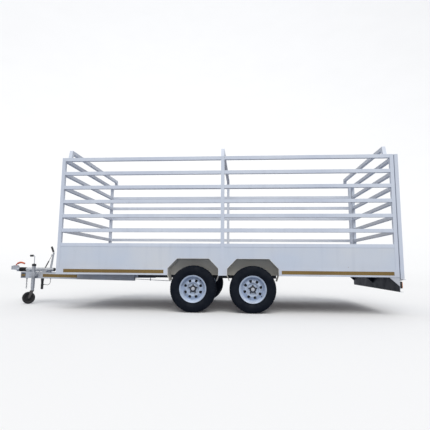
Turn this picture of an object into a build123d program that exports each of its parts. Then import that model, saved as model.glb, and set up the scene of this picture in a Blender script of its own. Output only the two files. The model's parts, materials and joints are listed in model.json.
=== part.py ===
"""Tandem-axle livestock trailer, as an assembly of separate pieces.

The trailer stands level on its four road wheels and its jockey wheel. +X points to the rear gate,
+Y to the far side, +Z up. The origin is on the ground, under the middle of the whole trailer.
"""
from build123d import *
import os
from math import cos, hypot, pi, radians, sin, sqrt, tan

os.makedirs("parts", exist_ok=True)

# ---------------------------------------------------------------- driving dimensions (mm)
body_length = 4880.0        # outside of the front posts to outside of the rear posts
body_width = 2200.0         # outside of the near posts to outside of the far posts
rail_height = 100.0         # chassis rail, a rectangular tube
rail_depth = 50.0
rail_wall = 4.0
bar_size = 50.0             # square tube of the posts, bars and bows
bar_wall = 2.5
panel_height = 304.0        # steel sheet between the chassis rail and the lowest bar
panel_sheet = 2.0
panel_recess = 3.0          # the sheet stands behind the face of the bars
bar_pitch = 215.0           # height from one bar to the next
bar_count = 7               # bars up each side, the lowest one on top of the sheet
bow_rise = 125.0            # top of the roof bows above the top bar
bow_lean = 37.0             # the bow legs lean in by this
bow_inset = 115.0           # first and last bow from the ends of the body
weld_gap = 0.3              # root gap where two straight pieces butt
nose_reach = 1360.0         # front of the body to the tip of the coupling head
gate_gap = 0.24 * bar_size  # body to gate: a turning stile's corner swings 0.207 of its side past its face
keeper_reach = 33.0         # rear face of the gate to the rear edge of the latch keeper

# wheels and arches
tyre_od = 666.0
tyre_width = 190.0
axle_drop = 192.0           # wheel centres below the underside of the chassis rails
wheel_setback = 6.5         # midpoint of the wheels behind the middle of the body
tyre_inset = 20.0           # outer side of the tyre inside the body's side
arch_side_gap = 33.0        # tyre to the sides of the wheel opening in the chassis rail
arch_top_gap = 100.0        # tyre to the flat top of the opening
arch_slope = 136.0          # the flat top is shorter by this at each end
arch_post = 123.0           # chassis rail left between the two openings
guard_sheet = 3.0
guard_depth = 270.0         # wheel box, from the body's side to its inner wall
guard_drop = 78.0           # mudguard lips hang below the chassis rail
guard_tuck = 26.0           # and tuck in towards the wheel

# drawbar
beam_height = 100.0
beam_width = 50.0
beam_wall = 4.0
beam_front = 1040.0         # front end of the beams ahead of the body
beam_back = 1071.0          # rear end of the beams behind the body's front
beam_front_y = 54.0         # beam centre line off the middle, at its front end
beam_back_y = 700.0         # and at its rear end
draw_axis_lift = 40.0       # centre of the draw tube above the plate it is bolted to
nose_plate_sheet = 8.0

# ---------------------------------------------------------------- stations worked out from them
wheel_r = tyre_od / 2
ride_height = wheel_r + axle_drop
arch_half = wheel_r + arch_side_gap
arch_top_half = arch_half - arch_slope
arch_top = tyre_od + arch_top_gap
wheel_spacing = 2 * arch_half + arch_post
rear_reach = gate_gap + bar_size + keeper_reach
front_x = (nose_reach - body_length - rear_reach) / 2
rear_x = front_x + body_length
half_width = body_width / 2
inner_half = half_width - bar_size
rail_top = ride_height + rail_height
low_bar_z = rail_top + panel_height + bar_size / 2
bar_heights = [low_bar_z + bar_pitch * i for i in range(bar_count)]
post_top = bar_heights[-1] + bar_size / 2
mid_x = front_x + body_length / 2
wheel_xs = [mid_x + wheel_setback + side * wheel_spacing / 2 for side in (-1, 1)]
wheel_y = half_width - tyre_inset - tyre_width / 2
guard_inner = half_width - guard_depth
sides = {"near": -1, "far": 1}
places = {"front": wheel_xs[0], "rear": wheel_xs[1]}


# ---------------------------------------------------------------- shapes used many times
def upright_plane(y0, y1):
    """The XZ plane at the higher of two Y values: a sketch on it, extruded, runs down to the other."""
    return Plane.XZ.offset(-max(y0, y1))


def span_box(x0, x1, y0, y1, z0, z1, mode=Mode.ADD):
    """A plain block between six planes."""
    with BuildSketch(Plane.XY.offset(z0)) as face:
        with Locations(((x0 + x1) / 2, (y0 + y1) / 2)):
            Rectangle(abs(x1 - x0), abs(y1 - y0))
    extrude(face.sketch, amount=z1 - z0, mode=mode)


def tube_x(x0, x1, y, z, size_y, size_z, wall):
    """A rectangular tube along X."""
    with BuildSketch(Plane.YZ.offset(x0)) as face:
        with Locations((y, z)):
            Rectangle(size_y, size_z)
            Rectangle(size_y - 2 * wall, size_z - 2 * wall, mode=Mode.SUBTRACT)
    extrude(face.sketch, amount=x1 - x0)


def tube_y(y0, y1, x, z, size_x, size_z, wall):
    """A rectangular tube along Y."""
    with BuildSketch(upright_plane(y0, y1)) as face:
        with Locations((x, z)):
            Rectangle(size_x, size_z)
            Rectangle(size_x - 2 * wall, size_z - 2 * wall, mode=Mode.SUBTRACT)
    extrude(face.sketch, amount=y1 - y0)


def tube_z(z0, z1, x, y, size, wall):
    """A square tube standing on end."""
    with BuildSketch(Plane.XY.offset(z0)) as face:
        with Locations((x, y)):
            Rectangle(size, size)
            Rectangle(size - 2 * wall, size - 2 * wall, mode=Mode.SUBTRACT)
    extrude(face.sketch, amount=z1 - z0)


def round_x(x0, x1, y, z, radius, bore=0.0, mode=Mode.ADD):
    """A round bar or tube along X."""
    with BuildSketch(Plane.YZ.offset(x0)) as face:
        with Locations((y, z)):
            Circle(radius)
            if bore:
                Circle(bore, mode=Mode.SUBTRACT)
    extrude(face.sketch, amount=x1 - x0, mode=mode)


def round_y(y0, y1, x, z, radius, bore=0.0, mode=Mode.ADD):
    """A round bar or tube along Y."""
    with BuildSketch(upright_plane(y0, y1)) as face:
        with Locations((x, z)):
            Circle(radius)
            if bore:
                Circle(bore, mode=Mode.SUBTRACT)
    extrude(face.sketch, amount=abs(y1 - y0), mode=mode)


def round_z(z0, z1, x, y, radius, bore=0.0, mode=Mode.ADD):
    """A round bar or tube standing on end."""
    with BuildSketch(Plane.XY.offset(z0)) as face:
        with Locations((x, y)):
            Circle(radius)
            if bore:
                Circle(bore, mode=Mode.SUBTRACT)
    extrude(face.sketch, amount=z1 - z0, mode=mode)


def offset_line(points, distance):
    """An open line moved to its left by the distance, with mitred corners."""
    normals = []
    for (xa, ya), (xb, yb) in zip(points, points[1:]):
        run = hypot(xb - xa, yb - ya)
        normals.append(((ya - yb) / run, (xb - xa) / run))
    before = [normals[0]] + normals
    after = normals + [normals[-1]]
    moved = []
    for (x, y), (ax, ay), (bx, by) in zip(points, before, after):
        spread = distance / (1 + ax * bx + ay * by)
        moved.append((x + (ax + bx) * spread, y + (ay + by) * spread))
    return moved


def fill(points, mode=Mode.ADD):
    """A flat face inside straight edges, added to the sketch that is open."""
    with BuildLine() as outline:
        Polyline(*points, close=True)
    make_face(outline.edges(), mode=mode)


def strip(points, thickness):
    """A bent sheet seen edge on: the closed outline between a line and its offset."""
    fill(list(points) + offset_line(points, thickness)[::-1])


def save(piece, name):
    """Label one finished piece and write its file."""
    piece.part.label = name
    export_step(piece.part, f"parts/{name}.step")


# ---------------------------------------------------------------- handbrake and brake rod layout
plate_z = ride_height + nose_plate_sheet
draw_z = plate_z + draw_axis_lift
lever_x = front_x - 669.0
lever_z = draw_z + 7.0
lever_lean = radians(-8.0)  # forward of upright
lever_y = 42.0              # inner face of the lever plate
lever_sheet = 8.0
lever_pin_r = 8.0
lever_boss_r = 20.0
lever_reach = 290.0
lever_top_r = 14.0
lever_foot = 90.0
grip_lean = radians(22.0)   # the grip leans forward of upright
grip_r = 16.0
grip_gap = 16.0             # top of the lever's centre line to the foot of the grip
grip_length = 100.0
grip_bore = 86.0
grip_rod_r = 6.5
strut_pin_reach = 245.0     # pin of the gas strut: up the lever, and forward of it on a lug
strut_pin_out = 30.0
strut_lug_r = 11.0
strut_base_x = front_x - 785.0
strut_base_z = draw_z + 15.0
strut_y = 62.0
strut_r = 10.0
strut_pin_r = 5.0
strut_eye_half = 5.0
cheek_out = 38.0
rod_y = 58.0
rod_r = 5.0
rod_front_z = lever_z - lever_foot
rod_rear_z = ride_height - 139.0
rod_start_x = lever_x - 15.0
rod_end_x = front_x + 1745.0
rod_drop = (rod_front_z - rod_rear_z) / (rod_end_x - rod_start_x)


def along_lever(reach, out=0.0):
    """X and Z of a point up the lever from its pivot, and out in front of its centre line."""
    return (lever_x - reach * sin(lever_lean) - out * cos(lever_lean),
            lever_z + reach * cos(lever_lean) - out * sin(lever_lean))


def rod_z(x):
    """Height of the sloping brake rod."""
    return rod_front_z - rod_drop * (x - rod_start_x)


# ---------------------------------------------------------------- chassis
def arch_line(x, low_z):
    """Outline of a wheel opening, from its left foot over the top to its right foot."""
    return [
        (x - arch_half, low_z),
        (x - arch_half, rail_top),
        (x - arch_top_half, arch_top),
        (x + arch_top_half, arch_top),
        (x + arch_half, rail_top),
        (x + arch_half, low_z),
    ]


rail_starts = [front_x + bar_size] + [x + arch_half for x in wheel_xs]
rail_ends = [x - arch_half for x in wheel_xs] + [rear_x - bar_size]
rail_mid_z = ride_height + rail_height / 2
axle_rail_size = 50.0       # inner rails under the cross members, which carry the axles
axle_rail_y = guard_inner - 230.0
axle_rail_start = front_x + beam_back + 30.0
axle_rail_z = ride_height - axle_rail_size / 2 - weld_gap

with BuildPart() as chassis_rails:
    for side in sides.values():
        for start, end in zip(rail_starts, rail_ends):
            tube_x(start + weld_gap, end - weld_gap, side * (half_width - rail_depth / 2), rail_mid_z,
                   rail_depth, rail_height, rail_wall)
    for x in (front_x + rail_depth / 2, rear_x - rail_depth / 2):
        tube_y(-inner_half + weld_gap, inner_half - weld_gap, x, rail_mid_z,
               rail_depth, rail_height, rail_wall)
    for side in sides.values():
        tube_x(axle_rail_start, rail_starts[2], side * axle_rail_y, axle_rail_z,
               axle_rail_size, axle_rail_size, rail_wall)
save(chassis_rails, "chassis_rails")

# Cross members carry the floor between the chassis rails, and shorter ones do between the wheel boxes.
cross_width = 40.0
cross_height = 80.0
cross_wall = 3.0
floor_sheet = 20.0
cross_z = ride_height + cross_height / 2
front_bay = rail_ends[0] - rail_starts[0]
rear_bay = rail_ends[2] - rail_starts[2]
bay_members = 4
guide_sheet = 6.0           # eye plates that carry the brake rod
guide_reach = 15.0
guide_play = 0.7
full_members = [rail_starts[0] + front_bay * (i + 0.7) / bay_members for i in range(bay_members)]
full_members += [rail_starts[2] + rear_bay * (i + 0.3) / bay_members for i in range(bay_members)]
full_members.append((rail_starts[1] + rail_ends[1]) / 2)

with BuildPart() as cross_members:
    for x in full_members:
        tube_y(-inner_half + weld_gap, inner_half - weld_gap, x, cross_z,
               cross_width, cross_height, cross_wall)
    for x in wheel_xs:
        tube_y(-guard_inner + weld_gap, guard_inner - weld_gap, x, cross_z,
               cross_width, cross_height, cross_wall)
    for x in full_members[1:3]:
        span_box(x - guide_sheet / 2, x + guide_sheet / 2, rod_y - guide_reach, rod_y + guide_reach,
                 rod_z(x) - guide_reach, ride_height - weld_gap)
        round_x(x - guide_sheet, x + guide_sheet, rod_y, rod_z(x), rod_r + guide_play, mode=Mode.SUBTRACT)
save(cross_members, "cross_members")

# Plywood floor in sections, notched round the wheel boxes.
floor_top = ride_height + cross_height + floor_sheet
floor_gap = 1.0
floor_z = ride_height + cross_height + weld_gap
boards = [
    (rail_starts[0], rail_ends[0], -inner_half, inner_half),
    (rail_ends[0], rail_starts[2], -guard_inner, guard_inner),
    (rail_starts[1], rail_ends[1], -inner_half, -guard_inner),
    (rail_starts[1], rail_ends[1], guard_inner, inner_half),
    (rail_starts[2], rail_ends[2], -inner_half, inner_half),
]

with BuildPart() as floor_boards:
    for x0, x1, y0, y1 in boards:
        span_box(x0 + floor_gap, x1 - floor_gap, y0 + floor_gap, y1 - floor_gap, floor_z, floor_top)
save(floor_boards, "floor_boards")

# ---------------------------------------------------------------- posts, bars and sheets
post_xs = [front_x + bar_size / 2, mid_x, rear_x - bar_size / 2]
post_y = half_width - bar_size / 2

with BuildPart() as posts:
    for side in sides.values():
        for x in (post_xs[0], post_xs[2]):
            tube_z(ride_height, post_top, x, side * post_y, bar_size, bar_wall)
        tube_z(rail_top, post_top, mid_x, side * post_y, bar_size, bar_wall)
save(posts, "posts")

bay_starts = [x + bar_size / 2 + weld_gap for x in post_xs[:2]]
bay_ends = [x - bar_size / 2 - weld_gap for x in post_xs[1:]]

with BuildPart() as side_bars:
    for side in sides.values():
        for z in bar_heights:
            for start, end in zip(bay_starts, bay_ends):
                tube_x(start, end, side * post_y, z, bar_size, bar_size, bar_wall)
save(side_bars, "side_bars")

with BuildPart() as front_bars:
    for z in bar_heights:
        tube_y(-inner_half + weld_gap, inner_half - weld_gap, post_xs[0], z, bar_size, bar_size, bar_wall)
save(front_bars, "front_bars")

panel_low = rail_top + weld_gap
panel_high = rail_top + panel_height - weld_gap


def side_sheet(side, start, end):
    """One sheet of a side, with the wheel openings cut out of it."""
    face = side * (half_width - panel_recess)
    with BuildSketch(upright_plane(face, face - side * panel_sheet)) as sheet:
        with Locations(((start + end) / 2, (panel_low + panel_high) / 2)):
            Rectangle(end - start, panel_high - panel_low)
        for x in wheel_xs:
            fill(arch_line(x, ride_height), mode=Mode.SUBTRACT)
    extrude(sheet.sketch, amount=panel_sheet)


with BuildPart() as body_panels:
    for side in sides.values():
        for start, end in zip(bay_starts, bay_ends):
            side_sheet(side, start, end)
    span_box(front_x + panel_recess, front_x + panel_recess + panel_sheet,
             -inner_half + weld_gap, inner_half - weld_gap, panel_low, panel_high)
save(body_panels, "body_panels")

# Each wheel box is a folded mudguard sheet through the side, closed by an inner wall.
guard_foot = ride_height - guard_drop


def guard_line(x):
    """Fold line of the mudguard sheet, with the lips that tuck in below the chassis."""
    line = arch_line(x, ride_height)
    line.insert(0, (x - arch_half + guard_tuck, guard_foot))
    line.append((x + arch_half - guard_tuck, guard_foot))
    return [(px - (px > x) * weld_gap + (px < x) * weld_gap, pz - weld_gap) for px, pz in line]


with BuildPart() as wheel_boxes:
    for side in sides.values():
        outer = half_width - panel_recess
        inner = guard_inner + guard_sheet + weld_gap
        for x in wheel_xs:
            with BuildSketch(upright_plane(side * outer, side * inner)):
                strip(guard_line(x), -guard_sheet)
            extrude(amount=outer - inner)
            with BuildSketch(upright_plane(side * guard_inner, side * (guard_inner + guard_sheet))):
                fill(arch_line(x, ride_height + weld_gap))
            extrude(amount=guard_sheet)
save(wheel_boxes, "wheel_boxes")

# Roof bows stand on the top bars.
bow_top = post_top + bow_rise
bow_xs = [front_x + bow_inset, mid_x, rear_x - bow_inset]


def bow_outline(inset):
    """Outline of a bow seen from the front, with the inset as its wall for the hollow inside."""
    foot = post_top + weld_gap
    outer, inner = half_width - inset, half_width - bar_size + inset
    fill([
        (-outer, foot),
        (bow_lean - outer, bow_top - inset),
        (outer - bow_lean, bow_top - inset),
        (outer, foot),
        (inner, foot),
        (inner - bow_lean, bow_top - bar_size + inset),
        (bow_lean - inner, bow_top - bar_size + inset),
        (-inner, foot),
    ])


with BuildPart() as roof_bows:
    for x in bow_xs:
        with BuildSketch(Plane.YZ.offset(x - bar_size / 2)):
            bow_outline(0)
        extrude(amount=bar_size)
        with BuildSketch(Plane.YZ.offset(x - bar_size / 2 + bar_wall)):
            bow_outline(bar_wall)
        extrude(amount=bar_size - 2 * bar_wall, mode=Mode.SUBTRACT)
save(roof_bows, "roof_bows")

# ---------------------------------------------------------------- rear gate, light board and lamps
gate_drop = 20.0            # gate frame below the chassis rail
gate_x = rear_x + gate_gap + bar_size / 2
gate_low = ride_height - gate_drop
gate_rail_z = gate_low + bar_size / 2
gate_swing_y = post_y

pin_r = 10.0                # pintles above and below the far stile
pin_fit = 0.05
pin_length = 32.0
bush_length_z = 40.0
bush_side = bar_size - 2 * bar_wall - 2 * weld_gap

with BuildPart() as gate_stiles:
    for side in sides.values():
        tube_z(gate_low, post_top, gate_x, side * post_y, bar_size, bar_wall)
    for low, high in ((gate_low, gate_low + bush_length_z), (post_top - bush_length_z, post_top)):
        span_box(gate_x - bush_side / 2, gate_x + bush_side / 2, gate_swing_y - bush_side / 2,
                 gate_swing_y + bush_side / 2, low, high)
        round_z(low, high, gate_x, gate_swing_y, pin_r + pin_fit, mode=Mode.SUBTRACT)
save(gate_stiles, "gate_stiles")

bolt_r = 8.0                # drop bolt on the back of the gate near its free edge
bolt_fit = 0.08
bolt_y = -(inner_half - 22.0)
bolt_x = gate_x + bar_size / 2 + 11.0
guide_height = 24.0
guide_half = 16.0
guide_wall = 4.0

with BuildPart() as gate_bars:
    for z in [gate_rail_z] + bar_heights:
        tube_y(-inner_half + weld_gap, inner_half - weld_gap, gate_x, z, bar_size, bar_size, bar_wall)
    for z in (gate_rail_z, low_bar_z):
        span_box(gate_x + bar_size / 2 + weld_gap, bolt_x + bolt_r + guide_wall, bolt_y - guide_half,
                 bolt_y + guide_half, z - guide_height / 2, z + guide_height / 2)
        round_z(z - guide_height / 2, z + guide_height / 2, bolt_x, bolt_y, bolt_r + bolt_fit,
                mode=Mode.SUBTRACT)
save(gate_bars, "gate_bars")

gate_sheet_x = gate_x + bar_size / 2 - panel_recess - panel_sheet
with BuildPart() as gate_panel:
    span_box(gate_sheet_x, gate_sheet_x + panel_sheet, -inner_half + weld_gap, inner_half - weld_gap,
             gate_low + bar_size + weld_gap, panel_high)
save(gate_panel, "gate_panel")

# Fixed lugs with a pin up or down into the bushes of the far stile, and the keeper of the drop bolt.
lug_sheet = 8.0
lug_gap = 1.0
lug_half = 22.0
lug_back = gate_x + 20.0
rib_depth = 19.0


def rear_bracket(y, half, top, back):
    """A ledge on the back of the light board under the gate, with a rib below it."""
    span_box(rear_x + weld_gap, back, y - half, y + half, top - lug_sheet, top)
    with BuildSketch(upright_plane(y - lug_sheet / 2, y + lug_sheet / 2)) as rib:
        fill([(rear_x + weld_gap, top - lug_sheet), (rear_x + weld_gap, top - lug_sheet - rib_depth),
              (back - lug_sheet, top - lug_sheet)])
    extrude(rib.sketch, amount=lug_sheet)


with BuildPart() as gate_lugs:
    rear_bracket(gate_swing_y, lug_half, gate_low - lug_gap, lug_back)
    round_z(gate_low - lug_gap, gate_low - lug_gap + pin_length, gate_x, gate_swing_y, pin_r)
    span_box(rear_x - bar_size, rear_x, gate_swing_y - lug_half, gate_swing_y + lug_half,
             post_top + weld_gap, post_top + lug_gap)
    span_box(rear_x - bar_size, lug_back, gate_swing_y - lug_half, gate_swing_y + lug_half,
             post_top + lug_gap, post_top + lug_gap + lug_sheet)
    round_z(post_top + lug_gap - pin_length, post_top + lug_gap, gate_x, gate_swing_y, pin_r)
save(gate_lugs, "gate_lugs")

# The bolt is stored drawn, with its foot clear above the keeper.
keeper_top = gate_low - 6.0
keeper_half = 30.0
bolt_foot = keeper_top + 12.0
bolt_head = low_bar_z + 90.0
bolt_bend = 12.0
bolt_grip = 70.0

with BuildPart() as latch_bolt:
    with BuildLine() as bolt_line:
        FilletPolyline((bolt_x, bolt_y, bolt_foot), (bolt_x, bolt_y, bolt_head),
                       (bolt_x, bolt_y + bolt_grip, bolt_head), radius=bolt_bend)
    with BuildSketch(Plane((bolt_x, bolt_y, bolt_foot), z_dir=(0, 0, 1))):
        Circle(bolt_r)
    sweep(path=bolt_line.line)
save(latch_bolt, "latch_bolt")

with BuildPart() as latch_keeper:
    rear_bracket(bolt_y, keeper_half, keeper_top, rear_x + rear_reach)
    round_z(keeper_top - lug_sheet - rib_depth, keeper_top, bolt_x, bolt_y, bolt_r + 1.5,
            mode=Mode.SUBTRACT)
save(latch_keeper, "latch_keeper")

# Light board: a hanging plate with a bottom lip and gussets in front of it.
board_depth = 198.0
board_sheet = 3.0
board_lip = 43.0
board_half = half_width - 5.0
gusset_long = 135.0
gusset_deep = 120.0
gusset_sheet = 5.0
board_top = ride_height - weld_gap
board_low = board_top - board_depth

with BuildPart() as light_board:
    span_box(rear_x - board_sheet, rear_x, -board_half, board_half, board_low, board_top)
    span_box(rear_x - board_sheet, rear_x + board_lip, -board_half, board_half, board_low,
             board_low + board_sheet)
    for y in (-board_half, -gusset_sheet / 2, board_half - gusset_sheet):
        back = rear_x - board_sheet
        with BuildSketch(upright_plane(y, y + gusset_sheet)):
            fill([(back, board_top), (back - gusset_long, board_top), (back, board_top - gusset_deep)])
        extrude(amount=gusset_sheet)
save(light_board, "light_board")

lamp_width = 220.0
lamp_height = 95.0
lamp_inset = 25.0
lamp_low = board_low + 47.3
lamp_body = 36.0
lens_depth = 13.0
lamp_middle_y = board_half - lamp_inset - lamp_width / 2
lamp_mid_z = lamp_low + lamp_height / 2
lamp_corner = 12.0


def lamp_block(x0, depth, shrink):
    """A rounded rectangle for each lamp, on the rear face of the light board."""
    for side in sides.values():
        with BuildSketch(Plane.YZ.offset(x0)) as face:
            with Locations((side * lamp_middle_y, lamp_mid_z)):
                RectangleRounded(lamp_width - 2 * shrink, lamp_height - 2 * shrink, lamp_corner)
        extrude(face.sketch, amount=depth)


with BuildPart() as tail_lamps:
    lamp_block(rear_x + weld_gap, lamp_body, 0)
save(tail_lamps, "tail_lamps")

with BuildPart() as lamp_lenses:
    lamp_block(rear_x + 2 * weld_gap + lamp_body, lens_depth, 2.0)
save(lamp_lenses, "lamp_lenses")

# ---------------------------------------------------------------- drawbar
beam_slope = (beam_back_y - beam_front_y) / (beam_front + beam_back)
beam_face = beam_width * sqrt(1 + beam_slope ** 2)      # beam width measured along Y
beam_low = ride_height - beam_height


def beam_y(x):
    """Distance of a beam's centre line from the middle, at a place along the trailer."""
    return beam_front_y + beam_slope * (x - front_x + beam_front)


def beam_outline(x0, x1, side, wall):
    """A beam seen from above, cut square at both ends."""
    reach = beam_face / 2 - wall
    fill([
        (x0, side * (beam_y(x0) - reach)),
        (x0, side * (beam_y(x0) + reach)),
        (x1, side * (beam_y(x1) + reach)),
        (x1, side * (beam_y(x1) - reach)),
    ])


beam_x0 = front_x - beam_front
beam_x1 = front_x + beam_back

with BuildPart() as drawbar_beams:
    for side in sides.values():
        with BuildSketch(Plane.XY.offset(beam_low - weld_gap)):
            beam_outline(beam_x0, beam_x1, side, 0)
        extrude(amount=beam_height)
        with BuildSketch(Plane.XY.offset(beam_low + beam_wall - weld_gap)):
            beam_outline(beam_x0, beam_x1, side, beam_wall)
        extrude(amount=beam_height - 2 * beam_wall, mode=Mode.SUBTRACT)
save(drawbar_beams, "drawbar_beams")

# The nose: a short box that closes the front of the beams, and the plate the draw gear is bolted to.
nose_box_front = front_x - 1136.0
nose_box_half = 80.0
nose_box_wall = 6.0
nose_plate_back = front_x - 700.0
eye_x = front_x - 1065.0    # chain eye under the nose box
eye_z = beam_low - 14.0
eye_r = 12.5
eye_hole = 6.5
eye_half = 4.0

with BuildPart() as nose_plate:
    tube_y(-nose_box_half, nose_box_half, (nose_box_front + beam_x0 - weld_gap) / 2,
           beam_low + beam_height / 2 - weld_gap, beam_x0 - weld_gap - nose_box_front, beam_height,
           nose_box_wall)

    with BuildSketch(Plane.XY.offset(ride_height)):
        plate_half = beam_y(nose_plate_back) + beam_face / 2
        fill([
            (nose_box_front, -nose_box_half),
            (beam_x0, -nose_box_half),
            (nose_plate_back, -plate_half),
            (nose_plate_back, plate_half),
            (beam_x0, nose_box_half),
            (nose_box_front, nose_box_half),
        ])
    extrude(amount=nose_plate_sheet)
    span_box(eye_x - eye_r, eye_x + eye_r, -eye_half, eye_half, eye_z, beam_low - 2 * weld_gap)
    round_y(-eye_half, eye_half, eye_x, eye_z, eye_r)
    round_y(-eye_half, eye_half, eye_x, eye_z, eye_hole, mode=Mode.SUBTRACT)
save(nose_plate, "nose_plate")

# Reflective tape on the chassis rails and on the drawbar beams.
tape_height = 50.0
tape_sheet = 0.6
tape_ends = [(rail_starts[0] + 62.0, rail_ends[0] - 56.0), (rail_starts[2] + 38.0, rail_ends[2] - 19.0)]
beam_tape = (front_x - 678.0, front_x + 20.0)

with BuildPart() as reflective_tape:
    for side in sides.values():
        face = side * (half_width + tape_sheet / 2)
        for x0, x1 in tape_ends:
            span_box(x0, x1, face - tape_sheet / 2, face + tape_sheet / 2,
                     rail_mid_z - tape_height / 2, rail_mid_z + tape_height / 2)
        with BuildSketch(Plane.XY.offset(beam_low + (beam_height - tape_height) / 2)):
            out = beam_face / 2 + weld_gap
            fill([
                (beam_tape[0], side * (beam_y(beam_tape[0]) + out)),
                (beam_tape[0], side * (beam_y(beam_tape[0]) + out + tape_sheet)),
                (beam_tape[1], side * (beam_y(beam_tape[1]) + out + tape_sheet)),
                (beam_tape[1], side * (beam_y(beam_tape[1]) + out)),
            ])
        extrude(amount=tape_height)
save(reflective_tape, "reflective_tape")

# ---------------------------------------------------------------- overrun coupling
housing_r = 32.0
housing_front = front_x - 1079.0
housing_back = front_x - 580.0
shaft_r = 22.5
shaft_fit = 0.05
overrun_travel = 80.0
head_back = front_x - 1205.0
shaft_back = front_x - 760.0
foot_xs = (front_x - 1035.0, front_x - 730.0)
foot_length = 60.0
foot_half = 62.0
foot_sheet = 10.0
foot_bolt_r = 10.0
foot_bolt_edge = 14.0
foot_bolt_height = 7.0
damper_r = 18.0
bush_length = 30.0

with BuildPart() as coupling_housing:
    round_x(housing_front, housing_back, 0, draw_z, housing_r)
    for x in foot_xs:
        span_box(x - foot_length / 2, x + foot_length / 2, -foot_half, foot_half,
                 plate_z + weld_gap, plate_z + weld_gap + foot_sheet)
        span_box(x - foot_length / 2, x + foot_length / 2, -housing_r, housing_r,
                 plate_z + weld_gap, draw_z)
    span_box(strut_base_x - 20, lever_x + 25, 0, cheek_out, draw_z - 14, lever_z + 20)
    round_y(cheek_out, strut_y + strut_r, strut_base_x, strut_base_z, strut_pin_r)
    round_y(cheek_out, lever_y + lever_sheet + 3, lever_x, lever_z, lever_pin_r)
    round_x(housing_front, housing_back, 0, draw_z, shaft_r + shaft_fit, mode=Mode.SUBTRACT)
    round_x(housing_front + bush_length, housing_front + 150.0, 0, draw_z, shaft_r + 3.0,
            mode=Mode.SUBTRACT)
    for x in foot_xs:
        for y in (-foot_half + foot_bolt_edge, foot_half - foot_bolt_edge):
            with BuildSketch(Plane.XY.offset(plate_z + foot_sheet + 2 * weld_gap)):
                with Locations((x, y)):
                    RegularPolygon(foot_bolt_r, 6)
            extrude(amount=foot_bolt_height)
save(coupling_housing, "coupling_housing")


with BuildPart() as draw_shaft:
    round_x(head_back, shaft_back, 0, draw_z, shaft_r)
    round_x(shaft_back - 60.0, shaft_back, 0, draw_z, shaft_r - 8.0, mode=Mode.SUBTRACT)
save(draw_shaft, "draw_shaft")

# The damper stands in the back of the housing, with a dark cap that closes it.
with BuildPart() as overrun_damper:
    round_x(shaft_back + overrun_travel + 8.0, housing_back + 15.0, 0, draw_z, damper_r)
    round_x(housing_back + weld_gap, housing_back + 15.0, 0, draw_z, housing_r - 3.0)
save(overrun_damper, "overrun_damper")

# Rubber bellows, five folds between the head and the housing.
fold_count = 5
fold_high = 33.0
fold_low = 27.0
bellows_wall = 2.0
bellows_front = head_back + weld_gap
bellows_back = housing_front - weld_gap
fold_length = (bellows_back - bellows_front) / fold_count

with BuildPart() as bellows:
    crest = [(bellows_front, draw_z + fold_low)]
    for i in range(fold_count):
        crest.append((bellows_front + fold_length * (i + 0.5), draw_z + fold_high))
        crest.append((bellows_front + fold_length * (i + 1), draw_z + fold_low))
    with BuildSketch(Plane.XZ):
        strip(crest, -bellows_wall)
    revolve(axis=Axis((0, 0, draw_z), (1, 0, 0)))
save(bellows, "bellows")

# Coupling head: a pressed body with a ball socket underneath and a collar for the shaft.
ball_r = 25.0
ball_socket_r = ball_r + 0.5
head_r = 38.0
head_tip = front_x - nose_reach
ball_x = head_tip + head_r
ball_z = draw_z + 5.0
head_top = draw_z + 70.0
head_half = 30.0
collar_r = 34.0
collar_length = 45.0
handle_pivot_x = ball_x + 42.0
handle_pivot_z = head_top - 8.0
handle_pin_r = 4.0
handle_slot = 11.0          # half the width of the slot the handle turns in
handle_slot_depth = 16.0

with BuildPart() as coupling_head:
    round_z(ball_z - 12.0, head_top - 10.0, ball_x, 0, head_r)
    with BuildSketch(Plane.XZ.offset(-head_half)):
        fill([
            (ball_x, ball_z - 4.0),
            (ball_x, head_top - 10.0),
            (ball_x + 18.0, head_top),
            (handle_pivot_x + 30.0, head_top),
            (head_back - 12.0, draw_z + 24.0),
            (head_back - 12.0, draw_z - 24.0),
        ])
    extrude(amount=2 * head_half)
    round_x(head_back - collar_length, head_back - weld_gap, 0, draw_z, collar_r)
    with BuildSketch(Plane.XZ):
        with BuildLine():
            CenterArc((ball_x, ball_z), ball_socket_r, 0, 90)
            Polyline((ball_x + ball_socket_r, ball_z), (ball_x + ball_socket_r, ball_z - 20.0),
                     (ball_x, ball_z - 20.0), (ball_x, ball_z + ball_socket_r))
        make_face()
    revolve(axis=Axis((ball_x, 0, 0), (0, 0, 1)), mode=Mode.SUBTRACT)
    span_box(handle_pivot_x - 22.0, handle_pivot_x + 60.0, -handle_slot, handle_slot,
             head_top - handle_slot_depth, head_top + 1.0, mode=Mode.SUBTRACT)
    round_y(-head_half, head_half, handle_pivot_x, handle_pivot_z, handle_pin_r)
save(coupling_head, "coupling_head")

# Release handle on a pin across a slot in the top of the head.
handle_half = 10.0
handle_sheet = 12.0
handle_boss_r = 7.5
handle_fit = 0.05
handle_line = [
    (handle_pivot_x, handle_pivot_z),
    (handle_pivot_x + 14.0, handle_pivot_z + 24.0),
    (handle_pivot_x + 70.0, handle_pivot_z + 46.0),
    (handle_pivot_x + 150.0, handle_pivot_z + 32.0),
]
with BuildPart() as coupling_handle:
    with BuildSketch(Plane.XZ.offset(-handle_half)):
        strip(handle_line, handle_sheet)
    extrude(amount=2 * handle_half)
    fillet(coupling_handle.edges().filter_by(Axis.Y), 3.0)
    round_y(-handle_half, handle_half, handle_pivot_x, handle_pivot_z, handle_boss_r)
    round_y(-handle_half, handle_half, handle_pivot_x, handle_pivot_z, handle_pin_r + handle_fit,
            mode=Mode.SUBTRACT)
save(coupling_handle, "coupling_handle")

# Safety chain: links of round wire hanging from the eye under the nose box.
link_wire = 3.5
link_pitch = 27.0
link_count = 6
link_play = 0.3
link_length = link_pitch + 4 * link_wire + link_play
link_width = 6 * link_wire + 2.0
chain_top = eye_z


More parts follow.
